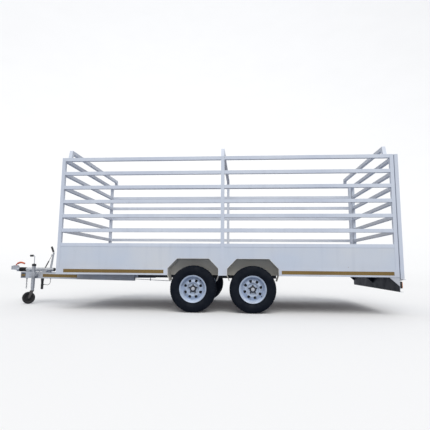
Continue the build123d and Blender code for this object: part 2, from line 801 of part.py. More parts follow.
def ring(centre, across, length, width, wire):
    """A closed upright link of round wire, lying in the plane of Z and the given direction."""
    plane = Plane(centre, x_dir=across, z_dir=Vector(*across).cross(Vector(0, 0, 1)))
    reach = width / 2 - wire
    lift = length / 2 - wire - reach
    with BuildLine(plane) as path:
        Line((reach, -lift), (reach, lift))
        ThreePointArc((reach, lift), (0, lift + reach), (-reach, lift))
        Line((-reach, lift), (-reach, -lift))
        ThreePointArc((-reach, -lift), (0, -lift - reach), (reach, -lift))
    with BuildSketch(Plane(path.line @ 0, z_dir=path.line % 0)) as section:
        Circle(wire)
    sweep(section.sketch, path=path.line)


with BuildPart() as safety_chain:
    for i in range(link_count):
        middle_z = chain_top - (link_length / 2 - link_wire) - i * link_pitch
        across = ((0, 1, 0), (1, 0, 0))[i % 2]
        ring((eye_x, 0, middle_z), across, link_length, link_width, link_wire)
save(safety_chain, "safety_chain")

# ---------------------------------------------------------------- axles and wheels
arm_length = 150.0          # trailing arm, from the axle tube to the stub axle
arm_angle = radians(25.0)   # the arm hangs this far below level
axle_size = 90.0
axle_wall = 6.0
axle_half = wheel_y - 115.0
axle_plug = 120.0
torsion_r = 30.0
torsion_fit = 0.05
saddle_length = 120.0
pivot_shift = arm_length * cos(arm_angle)
pivot_z = wheel_r + arm_length * sin(arm_angle)
saddle_low = pivot_z + axle_size / 2 + weld_gap
saddle_high = axle_rail_z - axle_rail_size / 2 - weld_gap

with BuildPart() as axle_tubes:
    for x in wheel_xs:
        pivot_x = x - pivot_shift
        tube_y(-axle_half, axle_half, pivot_x, pivot_z, axle_size, axle_size, axle_wall)
        for side in sides.values():
            end, inside = side * axle_half, side * (axle_half - axle_plug)
            span_box(pivot_x - axle_size / 2 + 1, pivot_x + axle_size / 2 - 1, min(end, inside),
                     max(end, inside), pivot_z - axle_size / 2 + 1, pivot_z + axle_size / 2 - 1)
            round_y(end, inside, pivot_x, pivot_z, torsion_r + torsion_fit, mode=Mode.SUBTRACT)
            span_box(pivot_x - saddle_length / 2, pivot_x + saddle_length / 2,
                     side * axle_rail_y - axle_rail_size / 2, side * axle_rail_y + axle_rail_size / 2,
                     saddle_low, saddle_high)
save(axle_tubes, "axle_tubes")

# Every wheel is measured outwards from the middle of the trailer, along the stub axle.
arm_sheet = 28.0
arm_play = 2.0
arm_in = axle_half + arm_play
arm_out = arm_in + arm_sheet
arm_pivot_r = 45.0
arm_axle_r = 30.0
rim_offset = 30.0           # hub face outside the middle of the rim
hub_face = wheel_y + rim_offset
backplate_r = 112.0
backplate_sheet = 3.0
drum_r = 115.0
drum_wall = 8.0
drum_in = wheel_y - 48.0
drum_play = 3.0
shoulder_r = 25.0
spindle_r = 17.5
spindle_fit = 0.05
spindle_end = hub_face + 18.0
hub_r = 32.0
hub_end = hub_face + 27.0
flange_r = 75.0
flange_sheet = 10.0
cap_r = 24.0
cap_length = 20.0
stud_circle_r = 56.0
stud_count = 5
stud_r = 6.0
nut_r = 11.0
nut_height = 15.0
nut_bore = 6.1
disc_sheet = 5.0
backplate_out = drum_in - drum_play

for side_name, side in sides.items():
    for place, x in places.items():
        with BuildPart() as swing_arm:
            pivot_x = x - pivot_shift
            round_y(side * (axle_half - axle_plug + 5), side * arm_in, pivot_x, pivot_z, torsion_r)
            with BuildSketch(upright_plane(side * arm_in, side * arm_out)):
                with Locations((pivot_x, pivot_z)):
                    Circle(arm_pivot_r)
                with Locations((x, wheel_r)):
                    Circle(arm_axle_r)
                make_hull()
            extrude(amount=arm_sheet)
            round_y(side * arm_out, side * backplate_out, x, wheel_r, shoulder_r)
            round_y(side * backplate_out, side * spindle_end, x, wheel_r, spindle_r)
            round_y(side * (backplate_out - backplate_sheet - 1), side * (backplate_out - 1), x, wheel_r,
                    backplate_r, bore=shoulder_r + weld_gap)
        save(swing_arm, f"swing_arm_{side_name}_{place}")


def wheel_turned(points, x, side):
    """A ring turned about a stub axle, from an outline given as radius and distance out."""
    with BuildSketch(Plane.YZ.offset(x)) as outline:
        fill([(side * out, wheel_r + radius) for radius, out in points])
    revolve(outline.sketch, axis=Axis((x, 0, wheel_r), (0, 1, 0)))


hub_outline = [
    (spindle_r + spindle_fit, backplate_out + 1),
    (hub_r, backplate_out + 1),
    (hub_r, hub_face - flange_sheet - drum_wall),
    (drum_r - drum_wall, hub_face - flange_sheet - drum_wall),
    (drum_r - drum_wall, drum_in),
    (drum_r, drum_in),
    (drum_r, hub_face - flange_sheet),
    (flange_r, hub_face - flange_sheet),
    (flange_r, hub_face - weld_gap),
    (hub_r, hub_face - weld_gap),
    (hub_r, hub_end),
    (spindle_r + spindle_fit, hub_end),
]
cap_outline = [
    (0, hub_end + weld_gap),
    (cap_r, hub_end + weld_gap),
    (cap_r, hub_end + cap_length * 0.6),
    (cap_r * 0.7, hub_end + cap_length),
    (0, hub_end + cap_length),
]

for side_name, side in sides.items():
    for place, x in places.items():
        with BuildPart() as hub:
            wheel_turned(hub_outline, x, side)
            wheel_turned(cap_outline, x, side)
            stud_low, stud_high = hub_face - flange_sheet, hub_face + disc_sheet + nut_height + 6
            nut_low = hub_face + disc_sheet + weld_gap
            with BuildSketch(upright_plane(side * stud_low, side * stud_high)):
                with Locations((x, wheel_r)):
                    with PolarLocations(stud_circle_r, stud_count, start_angle=90):
                        Circle(stud_r)
            extrude(amount=stud_high - stud_low)
            with BuildSketch(upright_plane(side * nut_low, side * (nut_low + nut_height))):
                with Locations((x, wheel_r)):
                    with PolarLocations(stud_circle_r, stud_count, start_angle=90):
                        RegularPolygon(nut_r, 6)
                        Circle(nut_bore, mode=Mode.SUBTRACT)
            extrude(amount=nut_height)
        save(hub, f"hub_{side_name}_{place}")

# Steel disc wheel: a barrel with a dropped centre, and a dished disc with windows.
rim_sheet = 4.0
rim_half = 81.0
lip_r = 195.0
seat_r = 180.0
well_r = 160.0
lip_run = 5.0
seat_run = 33.0
well_in = 43.0
well_out = 22.0
disc_bore = 40.0
window_circle_r = 117.0
window_count = 8
window_half = 19.0
window_inner_half = 15.0
window_outer_half = 22.0
window_round = 9.0
stud_hole = 7.5
window_start = {"front": 22.5, "rear": 15.0}

barrel_line = [
    (-rim_half, lip_r),
    (-rim_half + lip_run, seat_r),
    (-rim_half + seat_run, seat_r - 2),
    (-rim_half + well_in, well_r),
    (well_out, well_r),
    (rim_half - seat_run - 8, seat_r - 2),
    (rim_half - lip_run, seat_r),
    (rim_half, lip_r),
]
disc_line = [
    (disc_bore, hub_face),
    (flange_r + 1, hub_face),
    (92.0, hub_face + 16.5),
    (104.0, hub_face + 18.5),
    (140.0, hub_face - 7.5),
    (well_r - rim_sheet / 2, hub_face - 17.5),
]
barrel_outline = [(r, wheel_y + out) for out, r in barrel_line + offset_line(barrel_line, -rim_sheet)[::-1]]
disc_outline = disc_line + offset_line(disc_line, disc_sheet)[::-1]

for side_name, side in sides.items():
    for place, x in places.items():
        with BuildPart() as rim:
            wheel_turned(barrel_outline, x, side)
            wheel_turned(disc_outline, x, side)
            with BuildSketch(upright_plane(side * (hub_face - 20), side * (hub_face + 40))):
                with Locations((x, wheel_r)):
                    with PolarLocations(stud_circle_r, stud_count, start_angle=90):
                        Circle(stud_hole)
                    with PolarLocations(window_circle_r, window_count, start_angle=window_start[place]):
                        with BuildSketch(mode=Mode.PRIVATE) as window:
                            fill([
                                (-window_half, -window_inner_half),
                                (window_half, -window_outer_half),
                                (window_half, window_outer_half),
                                (-window_half, window_inner_half),
                            ])
                            fillet(window.vertices(), window_round)
                        add(window.sketch)
            extrude(amount=60, mode=Mode.SUBTRACT)
        save(rim, f"rim_{side_name}_{place}")

# Tyre carcass, open towards the rim.
tyre_wall = 11.0
bead_r = seat_r
tyre_line = [
    (-0.76, bead_r),
    (-0.80, bead_r + 18),
    (-0.97, wheel_r - 90),
    (-1.0, wheel_r - 68),
    (-0.95, wheel_r - 36),
    (-0.83, wheel_r - 11),
    (-0.68, wheel_r - 2),
    (-0.3, wheel_r),
]
tyre_line += [(-share, radius) for share, radius in tyre_line[::-1]]
tyre_side = [(share * tyre_width / 2, radius) for share, radius in tyre_line]
tyre_outline = [(r, wheel_y + out) for out, r in tyre_side + offset_line(tyre_side, -tyre_wall)[::-1]]

for side_name, side in sides.items():
    for place, x in places.items():
        with BuildPart() as tyre:
            wheel_turned(tyre_outline, x, side)
        save(tyre, f"tyre_{side_name}_{place}")

# ---------------------------------------------------------------- handbrake
lever_top = along_lever(lever_reach)
strut_top = along_lever(strut_pin_reach, strut_pin_out)
grip_way = Vector(-sin(grip_lean), 0, cos(grip_lean))
grip_root = Vector(lever_top[0], lever_y + lever_sheet / 2, lever_top[1])
strut_length = hypot(strut_top[0] - strut_base_x, strut_top[1] - strut_base_z)
strut_way = Vector(strut_top[0] - strut_base_x, 0, strut_top[1] - strut_base_z).normalized()

with BuildPart() as handbrake_lever:
    stretches = [
        ((lever_x, lever_z), lever_boss_r, lever_top, lever_top_r),
        ((lever_x, lever_z), lever_boss_r, (lever_x, lever_z - lever_foot), 12.0),
        (along_lever(strut_pin_reach), lever_top_r, strut_top, strut_lug_r),
    ]
    for start, start_r, end, end_r in stretches:
        with BuildSketch(upright_plane(lever_y, lever_y + lever_sheet)):
            with Locations(start):
                Circle(start_r)
            with Locations(end):
                Circle(end_r)
            make_hull()
        extrude(amount=lever_sheet)
    round_y(lever_y, lever_y + lever_sheet, lever_x, lever_z, lever_pin_r + spindle_fit, mode=Mode.SUBTRACT)
    round_y(lever_y + lever_sheet, strut_y - strut_eye_half - 0.5, strut_top[0], strut_top[1], strut_pin_r)
    with BuildSketch(Plane(grip_root, z_dir=grip_way)):
        Circle(grip_rod_r)
    extrude(amount=grip_gap + grip_bore - weld_gap)
save(handbrake_lever, "handbrake_lever")

with BuildPart() as handbrake_grip:
    grip_plane = Plane(grip_root + grip_way * grip_gap, z_dir=grip_way)
    with BuildSketch(grip_plane):
        Circle(grip_r)
    extrude(amount=grip_length)
    fillet(handbrake_grip.edges().filter_by(GeomType.CIRCLE), 4.0)
    with BuildSketch(grip_plane):
        Circle(grip_rod_r + weld_gap)
    extrude(amount=grip_bore, mode=Mode.SUBTRACT)
save(handbrake_grip, "handbrake_grip")

strut_bore = 8.0
strut_rod_r = 4.0
strut_rod_fit = 0.05
strut_eye_r = 9.0
strut_barrel = (7.0, 150.0)
strut_chamber = (18.0, 135.0)
strut_rod_foot = 125.0
piston_length = 8.0


def strut_round(start, end, radius, mode=Mode.ADD):
    """A round stretch of the gas strut, between two distances from its base pin."""
    foot = Vector(strut_base_x, strut_y, strut_base_z) + strut_way * start
    with BuildSketch(Plane(foot, z_dir=strut_way)) as face:
        Circle(radius)
    extrude(face.sketch, amount=end - start, mode=mode)


with BuildPart() as strut_cylinder:
    strut_round(*strut_barrel, strut_r)
    round_y(strut_y - strut_eye_half, strut_y + strut_eye_half, strut_base_x, strut_base_z, strut_eye_r)
    strut_round(*strut_chamber, strut_bore, mode=Mode.SUBTRACT)
    strut_round(strut_chamber[1], strut_barrel[1], strut_rod_r + strut_rod_fit, mode=Mode.SUBTRACT)
    round_y(strut_y - strut_r, strut_y + strut_r, strut_base_x, strut_base_z, strut_pin_r + spindle_fit,
            mode=Mode.SUBTRACT)
save(strut_cylinder, "strut_cylinder")

with BuildPart() as strut_rod:
    strut_round(strut_rod_foot, strut_length - strut_eye_r + 2, strut_rod_r)
    strut_round(strut_rod_foot, strut_rod_foot + piston_length, strut_bore - strut_rod_fit)
    round_y(strut_y - strut_eye_half, strut_y + strut_eye_half, strut_top[0], strut_top[1], strut_eye_r)
    round_y(strut_y - strut_eye_half, strut_y + strut_eye_half, strut_top[0], strut_top[1], strut_pin_r,
            mode=Mode.SUBTRACT)
save(strut_rod, "strut_rod")

# The brake rod slopes back to a balance bar in front of the axles.
bar_half = 150.0
bar_sheet = 12.0
bar_height = 30.0
with BuildPart() as brake_rod:
    rod_way = Vector(1, 0, -rod_drop)
    with BuildSketch(Plane((rod_start_x, rod_y, rod_front_z), z_dir=rod_way)):
        Circle(rod_r)
    extrude(amount=(rod_end_x - rod_start_x) * rod_way.length)
    span_box(rod_end_x - bar_sheet, rod_end_x, rod_y - bar_half, rod_y + bar_half,
             rod_rear_z - bar_height / 2, rod_rear_z + bar_height / 2)
save(brake_rod, "brake_rod")


# ---------------------------------------------------------------- jockey wheel
jockey_x = front_x - 850.0
jockey_gap = 12.0           # clamp wall between the beam and the jockey tube
jockey_tube_r = 30.0
jockey_tube_wall = 3.0
jockey_y = -(beam_y(jockey_x) + beam_face / 2 + jockey_gap + jockey_tube_r)
jockey_wheel_r = 100.0
crown_gap = 8.0             # wheel to the crown of the fork
crown_sheet = 13.0
fork_crown = (2 * jockey_wheel_r + crown_gap, 2 * jockey_wheel_r + crown_gap + crown_sheet)
jockey_low = fork_crown[1] + 41.0
jockey_high = ride_height + 112.0
clamp_low = beam_low + 15.0
clamp_high = clamp_low + 80.0
clamp_half = 42.0
clamp_wall = 9.0
clamp_play = 0.3
ear_reach = 32.0
ear_half_y = 14.0
ear_low = clamp_low + 20.0
ear_high = clamp_high - 20.0
clamp_screw_r = 6.0
clamp_screw_fit = 0.05
ear_x = jockey_x + clamp_half + ear_reach / 2
ear_z = (ear_low + ear_high) / 2

with BuildPart() as jockey_clamp:
    low_x, high_x = jockey_x - clamp_half, jockey_x + clamp_half
    outer_y = jockey_y - jockey_tube_r - clamp_wall
    with BuildSketch(Plane.XY.offset(clamp_low)):
        fill([
            (low_x, -(beam_y(low_x) + beam_face / 2 + weld_gap)),
            (low_x, outer_y),
            (high_x, outer_y),
            (high_x, -(beam_y(high_x) + beam_face / 2 + weld_gap)),
        ])
    extrude(amount=clamp_high - clamp_low)
    span_box(high_x - 1, high_x + ear_reach, jockey_y - ear_half_y, jockey_y + ear_half_y,
             ear_low, ear_high)
    round_z(clamp_low, clamp_high, jockey_x, jockey_y, jockey_tube_r + clamp_play, mode=Mode.SUBTRACT)
    round_y(jockey_y - ear_half_y, jockey_y + ear_half_y, ear_x, ear_z, clamp_screw_r + clamp_screw_fit,
            mode=Mode.SUBTRACT)
save(jockey_clamp, "jockey_clamp")

clamp_bar_r = 5.0
clamp_bar_length = 110.0
clamp_hub_r = 11.0
clamp_hub_length = 16.0
with BuildPart() as clamp_lever:
    hub_y = jockey_y - ear_half_y - 1.0 - clamp_hub_length
    round_y(hub_y, jockey_y + ear_half_y, ear_x, ear_z, clamp_screw_r)
    round_y(hub_y, hub_y + clamp_hub_length, ear_x, ear_z, clamp_hub_r)
    with BuildSketch(Plane((ear_x, hub_y + clamp_hub_length / 2, ear_z), z_dir=(1, 0, 1))):
        Circle(clamp_bar_r)
    extrude(amount=clamp_bar_length)
save(clamp_lever, "clamp_lever")

cap_height = 30.0
cap_over = 3.0
spindle_rod_r = 8.0
spindle_play = 0.05
with BuildPart() as jockey_tube:
    round_z(jockey_low, jockey_high, jockey_x, jockey_y, jockey_tube_r,
            bore=jockey_tube_r - jockey_tube_wall)
    round_z(jockey_high + weld_gap, jockey_high + cap_height, jockey_x, jockey_y, jockey_tube_r + cap_over,
            bore=spindle_rod_r + spindle_play)
save(jockey_tube, "jockey_tube")

# The inner tube slides on a nut that the crank's spindle turns in.
inner_play = 0.4
inner_r = jockey_tube_r - jockey_tube_wall - inner_play
inner_wall = 3.0
inner_low = fork_crown[1] + 1.0
inner_high = jockey_high - 37.0
inner_plug = 34.0
nut_length = 16.0
swivel_r = 10.0
swivel_fit = 0.05
with BuildPart() as jockey_inner_tube:
    round_z(inner_low, inner_high, jockey_x, jockey_y, inner_r, bore=inner_r - inner_wall)
    round_z(inner_low, inner_low + inner_plug, jockey_x, jockey_y, inner_r - 1, bore=swivel_r + swivel_fit)
    round_z(inner_high - nut_length, inner_high, jockey_x, jockey_y, inner_r - 1,
            bore=spindle_rod_r + weld_gap)
save(jockey_inner_tube, "jockey_inner_tube")

crank_r = 6.0
crank_top = jockey_high + 173.0
crank_foot = inner_low + inner_plug + 44.0
crank_reach = 75.0
crank_bend = 14.0
crank_grip_r = 13.0
crank_grip_length = 58.0
with BuildPart() as jockey_crank:
    round_z(crank_foot, jockey_high + cap_height + 2, jockey_x, jockey_y, spindle_rod_r)
    with BuildLine() as crank_line:
        FilletPolyline((jockey_x, jockey_y, jockey_high + cap_height), (jockey_x, jockey_y, crank_top),
                       (jockey_x - crank_reach, jockey_y, crank_top), radius=crank_bend)
    with BuildSketch(Plane(crank_line.line @ 0, z_dir=(0, 0, 1))):
        Circle(crank_r)
    sweep(path=crank_line.line)
    round_x(jockey_x - crank_reach, jockey_x - crank_reach + crank_grip_length, jockey_y, crank_top,
            crank_grip_r, bore=crank_r + weld_gap)
    round_x(jockey_x - crank_reach - 5, jockey_x - crank_reach - weld_gap, jockey_y, crank_top,
            crank_grip_r - 2)
save(jockey_crank, "jockey_crank")

# The fork swivels under the inner tube, and the wheel trails behind the swivel.
jockey_wheel_width = 60.0
jockey_trail = 50.0
swivel_turn = radians(35.0)  # the wheel stands turned by this, seen from above
fork_gap = 4.0
fork_sheet = 5.0
fork_foot_r = 14.0
fork_back = 34.0
fork_front = 20.0
axle_pin_r = 8.0
axle_pin_over = 8.0
fork_in = jockey_wheel_width / 2 + fork_gap
fork_out = fork_in + fork_sheet
trail_way = Vector(cos(swivel_turn), sin(swivel_turn), 0)
roll_way = Vector(-sin(swivel_turn), cos(swivel_turn), 0)


def fork_plane(out):
    """Upright plane across the wheel's axle, at a distance along it from the swivel."""
    return Plane(Vector(jockey_x, jockey_y, 0) + roll_way * out, x_dir=trail_way, z_dir=-roll_way)


def on_axle(half, radius, bore=0.0):
    """A round piece on the jockey wheel's axle, as long to each side of the fork's middle."""
    with BuildSketch(fork_plane(half)) as face:
        with Locations((-jockey_trail, jockey_wheel_r)):
            Circle(radius)
            if bore:
                Circle(bore, mode=Mode.SUBTRACT)
    extrude(face.sketch, amount=2 * half)


crown_middle = (fork_front - fork_back) / 2
with BuildPart() as jockey_fork:
    round_z(fork_crown[0], fork_crown[1], jockey_x, jockey_y, inner_r)
    with BuildSketch(fork_plane(fork_out)):
        with Locations((crown_middle, fork_crown[1] - crown_sheet / 2)):
            Rectangle(fork_front + fork_back, crown_sheet)
    extrude(amount=2 * fork_out)
    round_z(fork_crown[1], fork_crown[1] + inner_plug - 4, jockey_x, jockey_y, swivel_r)
    for out in (fork_out, -fork_in):
        with BuildSketch(fork_plane(out)):
            with Locations((-jockey_trail, jockey_wheel_r)):
                Circle(fork_foot_r)
            with Locations((crown_middle, fork_crown[1] - 3)):
                Rectangle(fork_front + fork_back, 6)
            make_hull()
        extrude(amount=fork_sheet)
    on_axle(fork_out + axle_pin_over, axle_pin_r)
save(jockey_fork, "jockey_fork")

jockey_hub_r = 62.0
tread_round = 8.0
with BuildPart() as jockey_wheel:
    on_axle(jockey_wheel_width / 2, jockey_wheel_r, bore=jockey_hub_r + weld_gap)
    fillet(jockey_wheel.edges().filter_by(GeomType.CIRCLE).group_by(SortBy.RADIUS)[-1], tread_round)
    on_axle(jockey_wheel_width / 2, jockey_hub_r, bore=axle_pin_r + swivel_fit)
save(jockey_wheel, "jockey_wheel")

# ---------------------------------------------------------------- plug, its parking socket and cable
plug_x = front_x - 695.0
plug_y = -beam_y(plug_x)
socket_r = 25.0
nose_fit = 0.3
plug_nose_r = 21.0
plug_body_r = 22.0
beam_under = beam_low - weld_gap
socket_high = beam_under - 6.7
socket_low = socket_high - 32.0
plug_shoulder = socket_low - 4.0
plug_low = plug_shoulder - 140.0
plug_round = 6.0
plug_gland_z = plug_low + 78.0
plug_gland_r = 9.0
plug_gland_reach = 36.0
cable_r = 4.0
gland_r = 9.0
gland_length = 13.0
gland_point = (plug_x + 162.0, plug_y - 36.0, beam_under - weld_gap - gland_length)

with BuildPart() as plug_holder:
    round_z(socket_low, socket_high, plug_x, plug_y, socket_r, bore=plug_nose_r + nose_fit)
    round_z(socket_high, beam_under - weld_gap, plug_x, plug_y, socket_r)
    round_z(gland_point[2], gland_point[2] + gland_length, gland_point[0], gland_point[1], gland_r)
save(plug_holder, "plug_holder")

with BuildPart() as plug:
    round_z(plug_low, plug_shoulder, plug_x, plug_y, plug_body_r)
    fillet(plug.edges().group_by(Axis.Z)[0], plug_round)
    round_z(plug_shoulder, socket_high - 2, plug_x, plug_y, plug_nose_r)
    round_x(plug_x + plug_body_r - 4, plug_x + plug_gland_reach, plug_y, plug_gland_z, plug_gland_r)
save(plug, "plug")

# The cable leaves the plug sideways, dips, and turns up into the gland under the beam.
cable_points = [
    (plug_x + plug_gland_reach, plug_y, plug_gland_z),
    (plug_x + 62.0, plug_y, plug_gland_z),
    (plug_x + 93.0, plug_y - 4.0, plug_gland_z - 6.0),
    (plug_x + 125.0, plug_y - 13.0, plug_gland_z + 2.5),
    (plug_x + 150.0, plug_y - 26.0, plug_gland_z + 26.0),
    (gland_point[0], gland_point[1], plug_gland_z + 59.0),
    gland_point,
]


def bend_radii(points):
    """Radius of each bend: 0.45 of its shorter run over the tangent of half the turn."""
    radii = []
    for a, b, c in zip(points, points[1:], points[2:]):
        before, after = Vector(*b) - Vector(*a), Vector(*c) - Vector(*b)
        half_turn = radians(before.get_angle(after)) / 2
        radii.append(0.45 * min(before.length, after.length) / tan(half_turn))
    return radii


cable_radii = bend_radii(cable_points)
print("cable bend radii:", [round(radius, 1) for radius in cable_radii])
with BuildPart() as plug_cable:
    with BuildLine() as cable_line:
        FilletPolyline(*cable_points, radius=cable_radii)
    with BuildSketch(Plane(cable_points[0], z_dir=cable_line.line % 0)):
        Circle(cable_r)
    sweep(path=cable_line.line)
cable_length = sum(edge.length for edge in cable_line.edges())
print("cable length", round(cable_length, 1), "volume over section times length",
      round(plug_cable.part.volume / (pi * cable_r ** 2 * cable_length), 4))
save(plug_cable, "plug_cable")
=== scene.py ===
# %% [markdown]
# A livestock trailer for the road: welded steel tube, a sheet-steel skirt, two axles, a drawbar with
# an overrun coupling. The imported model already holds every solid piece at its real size. This lesson
# gives those pieces their finish and adds what a solid model leaves out: weld beads, tyre
# tread, rubber folds, ribbed grips, backing plates, lamp lenses and the plug's cable.

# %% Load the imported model
import json

import bmesh
import bpy
import numpy as np
from mathutils import Matrix, Vector


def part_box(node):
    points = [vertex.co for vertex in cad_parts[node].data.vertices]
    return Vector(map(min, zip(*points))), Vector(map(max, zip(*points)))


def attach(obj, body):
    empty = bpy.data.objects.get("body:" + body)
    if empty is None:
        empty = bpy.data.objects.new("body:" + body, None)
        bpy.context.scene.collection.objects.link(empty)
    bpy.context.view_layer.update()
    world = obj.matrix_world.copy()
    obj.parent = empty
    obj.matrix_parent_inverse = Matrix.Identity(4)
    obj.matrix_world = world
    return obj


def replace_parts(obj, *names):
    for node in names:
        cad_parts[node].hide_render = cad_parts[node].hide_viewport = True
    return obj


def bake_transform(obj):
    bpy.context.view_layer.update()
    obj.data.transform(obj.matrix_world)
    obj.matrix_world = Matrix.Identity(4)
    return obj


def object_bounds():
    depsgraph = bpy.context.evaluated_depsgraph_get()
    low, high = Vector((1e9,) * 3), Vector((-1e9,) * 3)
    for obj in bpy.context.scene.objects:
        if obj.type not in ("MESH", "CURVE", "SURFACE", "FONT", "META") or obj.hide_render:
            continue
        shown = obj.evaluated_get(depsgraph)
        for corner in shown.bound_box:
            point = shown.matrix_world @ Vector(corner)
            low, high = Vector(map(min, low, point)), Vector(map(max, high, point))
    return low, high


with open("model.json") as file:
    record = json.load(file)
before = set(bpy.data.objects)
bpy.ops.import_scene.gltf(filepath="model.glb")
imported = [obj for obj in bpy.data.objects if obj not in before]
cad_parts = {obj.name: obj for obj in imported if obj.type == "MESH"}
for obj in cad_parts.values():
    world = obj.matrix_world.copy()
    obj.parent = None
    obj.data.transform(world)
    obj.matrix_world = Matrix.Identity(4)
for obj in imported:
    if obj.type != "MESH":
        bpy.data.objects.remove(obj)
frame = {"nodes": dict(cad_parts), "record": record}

cad_box = [list(corner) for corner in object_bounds()]
nodes = frame["nodes"]
low, high = (np.array(corner) for corner in cad_box)
print("trailer box", low.round(3), high.round(3))

# %% [markdown]
# The camera stands on the near side, level with the chassis and a little behind the middle, and looks
# slightly up. Its place is measured from the front face of the body. A camera in Blender looks down
# its own -Z, so its matrix is built from the three directions it should have.

# %% Camera
posts_low, posts_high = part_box("posts")
front_x, rear_x = posts_low.x, posts_high.x
half_width = posts_high.y
ride_height = posts_low.z

eye_behind_front, eye_out, eye_above_chassis = 2.730, 6.561, 0.1395
eye = Vector((front_x + eye_behind_front, -eye_out, ride_height + eye_above_chassis))
yaw, pitch, roll = np.radians([-4.17, 7.57, 0.48])
ahead = Vector((np.sin(yaw) * np.cos(pitch), np.cos(yaw) * np.cos(pitch), np.sin(pitch)))
level_right = Vector((np.cos(yaw), -np.sin(yaw), 0.0))
level_up = level_right.cross(ahead)
right = level_right * np.cos(roll) + level_up * np.sin(roll)
up = level_up * np.cos(roll) - level_right * np.sin(roll)

lens = bpy.data.cameras.new("camera")
lens.sensor_width = 36.0
lens.lens = 31.92
lens.clip_end = 200.0
camera = bpy.data.objects.new("camera", lens)
camera.matrix_world = Matrix(((right.x, up.x, -ahead.x, eye.x), (right.y, up.y, -ahead.y, eye.y),
                              (right.z, up.z, -ahead.z, eye.z), (0, 0, 0, 1)))
bpy.context.scene.collection.objects.link(camera)
bpy.context.scene.camera = camera
print("camera at", [round(v, 3) for v in eye])

# %% [markdown]
# Light comes from a pale sky and one very soft sun on the near side, and little comes back from below,
# so the undersides of the bars are dark. The world is pale above the horizon and dim below it. A sun
# lights the floor evenly however far it runs, where a lamp close by would leave a bright spot. The
# plain view transform keeps whites white.

# %% Sky and sun
def add(tree, kind, links=None, **settings):
    """One shader node, with inputs set by name, other settings as attributes, and links by input."""
    made = tree.nodes.new(kind)
    for name, value in settings.items():
        if name in made.inputs:
            made.inputs[name].default_value = value
        else:
            setattr(made, name, value)
    for name, source in (links or {}).items():
        tree.links.new(source, made.inputs[name])
    return made


bpy.context.scene.view_settings.view_transform = "Standard"
sky_pale, sky_dim = (0.62, 0.63, 0.65, 1), (0.24, 0.27, 0.34, 1)
world = bpy.data.worlds.new("sky")
world.use_nodes = True
bpy.context.scene.world = world
sky = world.node_tree
direction = add(sky, "ShaderNodeTexCoord").outputs["Generated"]
height = add(sky, "ShaderNodeSeparateXYZ", {"Vector": direction}).outputs["Z"]
share = add(sky, "ShaderNodeMapRange", {"Value": height}, **{"From Min": -0.08, "From Max": 0.0})
shade = add(sky, "ShaderNodeMix", {"Factor": share.outputs["Result"]}, data_type="RGBA")
for socket, tone in zip([s for s in shade.inputs if s.type == "RGBA"], (sky_dim, sky_pale)):
    socket.default_value = tone
background = sky.nodes["Background"]
sky.links.new([s for s in shade.outputs if s.type == "RGBA"][0], background.inputs["Color"])

sun_data = bpy.data.lights.new("soft_sun", "SUN")
sun_data.energy, sun_data.angle, sun_data.color = 1.75, np.radians(50), (1.0, 0.99, 0.97)
sun = bpy.data.objects.new("soft_sun", sun_data)
sun.rotation_euler = Vector((-0.12, 0.66, -0.74)).to_track_quat("-Z", "Y").to_euler()
bpy.context.scene.collection.objects.link(sun)

# %% [markdown]
# Pieces are surfaces on a grid. A grid has rows and columns of points; each face joins four
# neighbours, and a grid may wrap round in either direction. Working on whole arrays keeps it short
# and quick, where adding one corner at a time would be slow.

# %% Surfaces on a grid
def grid_faces(rows, columns, wrap_rows=False, wrap_columns=False):
    """Four-cornered faces between the neighbours on a grid, joined end to end where it wraps."""
    r, c = np.meshgrid(np.arange(rows if wrap_rows else rows - 1),
                       np.arange(columns if wrap_columns else columns - 1), indexing="ij")
    r_next, c_next = (r + 1) % rows, (c + 1) % columns
    corners = [r * columns + c, r * columns + c_next, r_next * columns + c_next, r_next * columns + c]
    return np.stack(corners, -1).reshape(-1, 4)


def piece(name, shapes, material, body, smooth=38.0):
    """One object from a list of (points, faces). Doubled points merge and faces turn outwards."""
    points = np.concatenate([shape[0].reshape(-1, 3) for shape in shapes])
    starts = np.cumsum([0] + [shape[0].size // 3 for shape in shapes[:-1]])
    faces = np.concatenate([shape[1] + start for shape, start in zip(shapes, starts)])
    mesh = bpy.data.meshes.new(name)
    mesh.vertices.add(len(points))
    mesh.vertices.foreach_set("co", points.astype(np.float32).ravel())
    mesh.loops.add(faces.size)
    mesh.loops.foreach_set("vertex_index", faces.astype(np.int32).ravel())
    mesh.polygons.add(len(faces))
    mesh.polygons.foreach_set("loop_start", np.arange(len(faces), dtype=np.int32) * 4)
    mesh.update(calc_edges=True)
    tidy = bmesh.new()
    tidy.from_mesh(mesh)
    bmesh.ops.remove_doubles(tidy, verts=tidy.verts, dist=2e-6)
    bmesh.ops.recalc_face_normals(tidy, faces=tidy.faces)
    tidy.to_mesh(mesh)
    tidy.free()
    mesh.shade_smooth()
    mesh.set_sharp_from_angle(angle=np.radians(smooth))
    mesh.materials.append(material)
    obj = bpy.data.objects.new(name, mesh)
    bpy.context.scene.collection.objects.link(obj)
    if body:
        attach(obj, body)
    print(name, len(mesh.polygons), "faces")
    return obj


AXES = {"X": np.eye(3)[[0, 1, 2]], "Y": np.eye(3)[[1, 2, 0]], "Z": np.eye(3)[[2, 0, 1]]}


def turned(profile, centre, axis, steps, closed=True):
    """A profile of (radius, distance along) carried round an axis:
    point = centre + along * axis + radius * (cos angle, sin angle) in the plane across it."""
    along_way, u, v = AXES[axis] if isinstance(axis, str) else axis
    angle = np.linspace(0, 2 * np.pi, steps, endpoint=False)[None, :, None]
    radius = np.asarray(profile, float)[:, 0][:, None, None]
    along = np.asarray(profile, float)[:, 1][:, None, None]
    points = np.array(centre) + along * along_way + radius * (np.cos(angle) * u + np.sin(angle) * v)
    return points, grid_faces(len(profile), steps, closed, True)


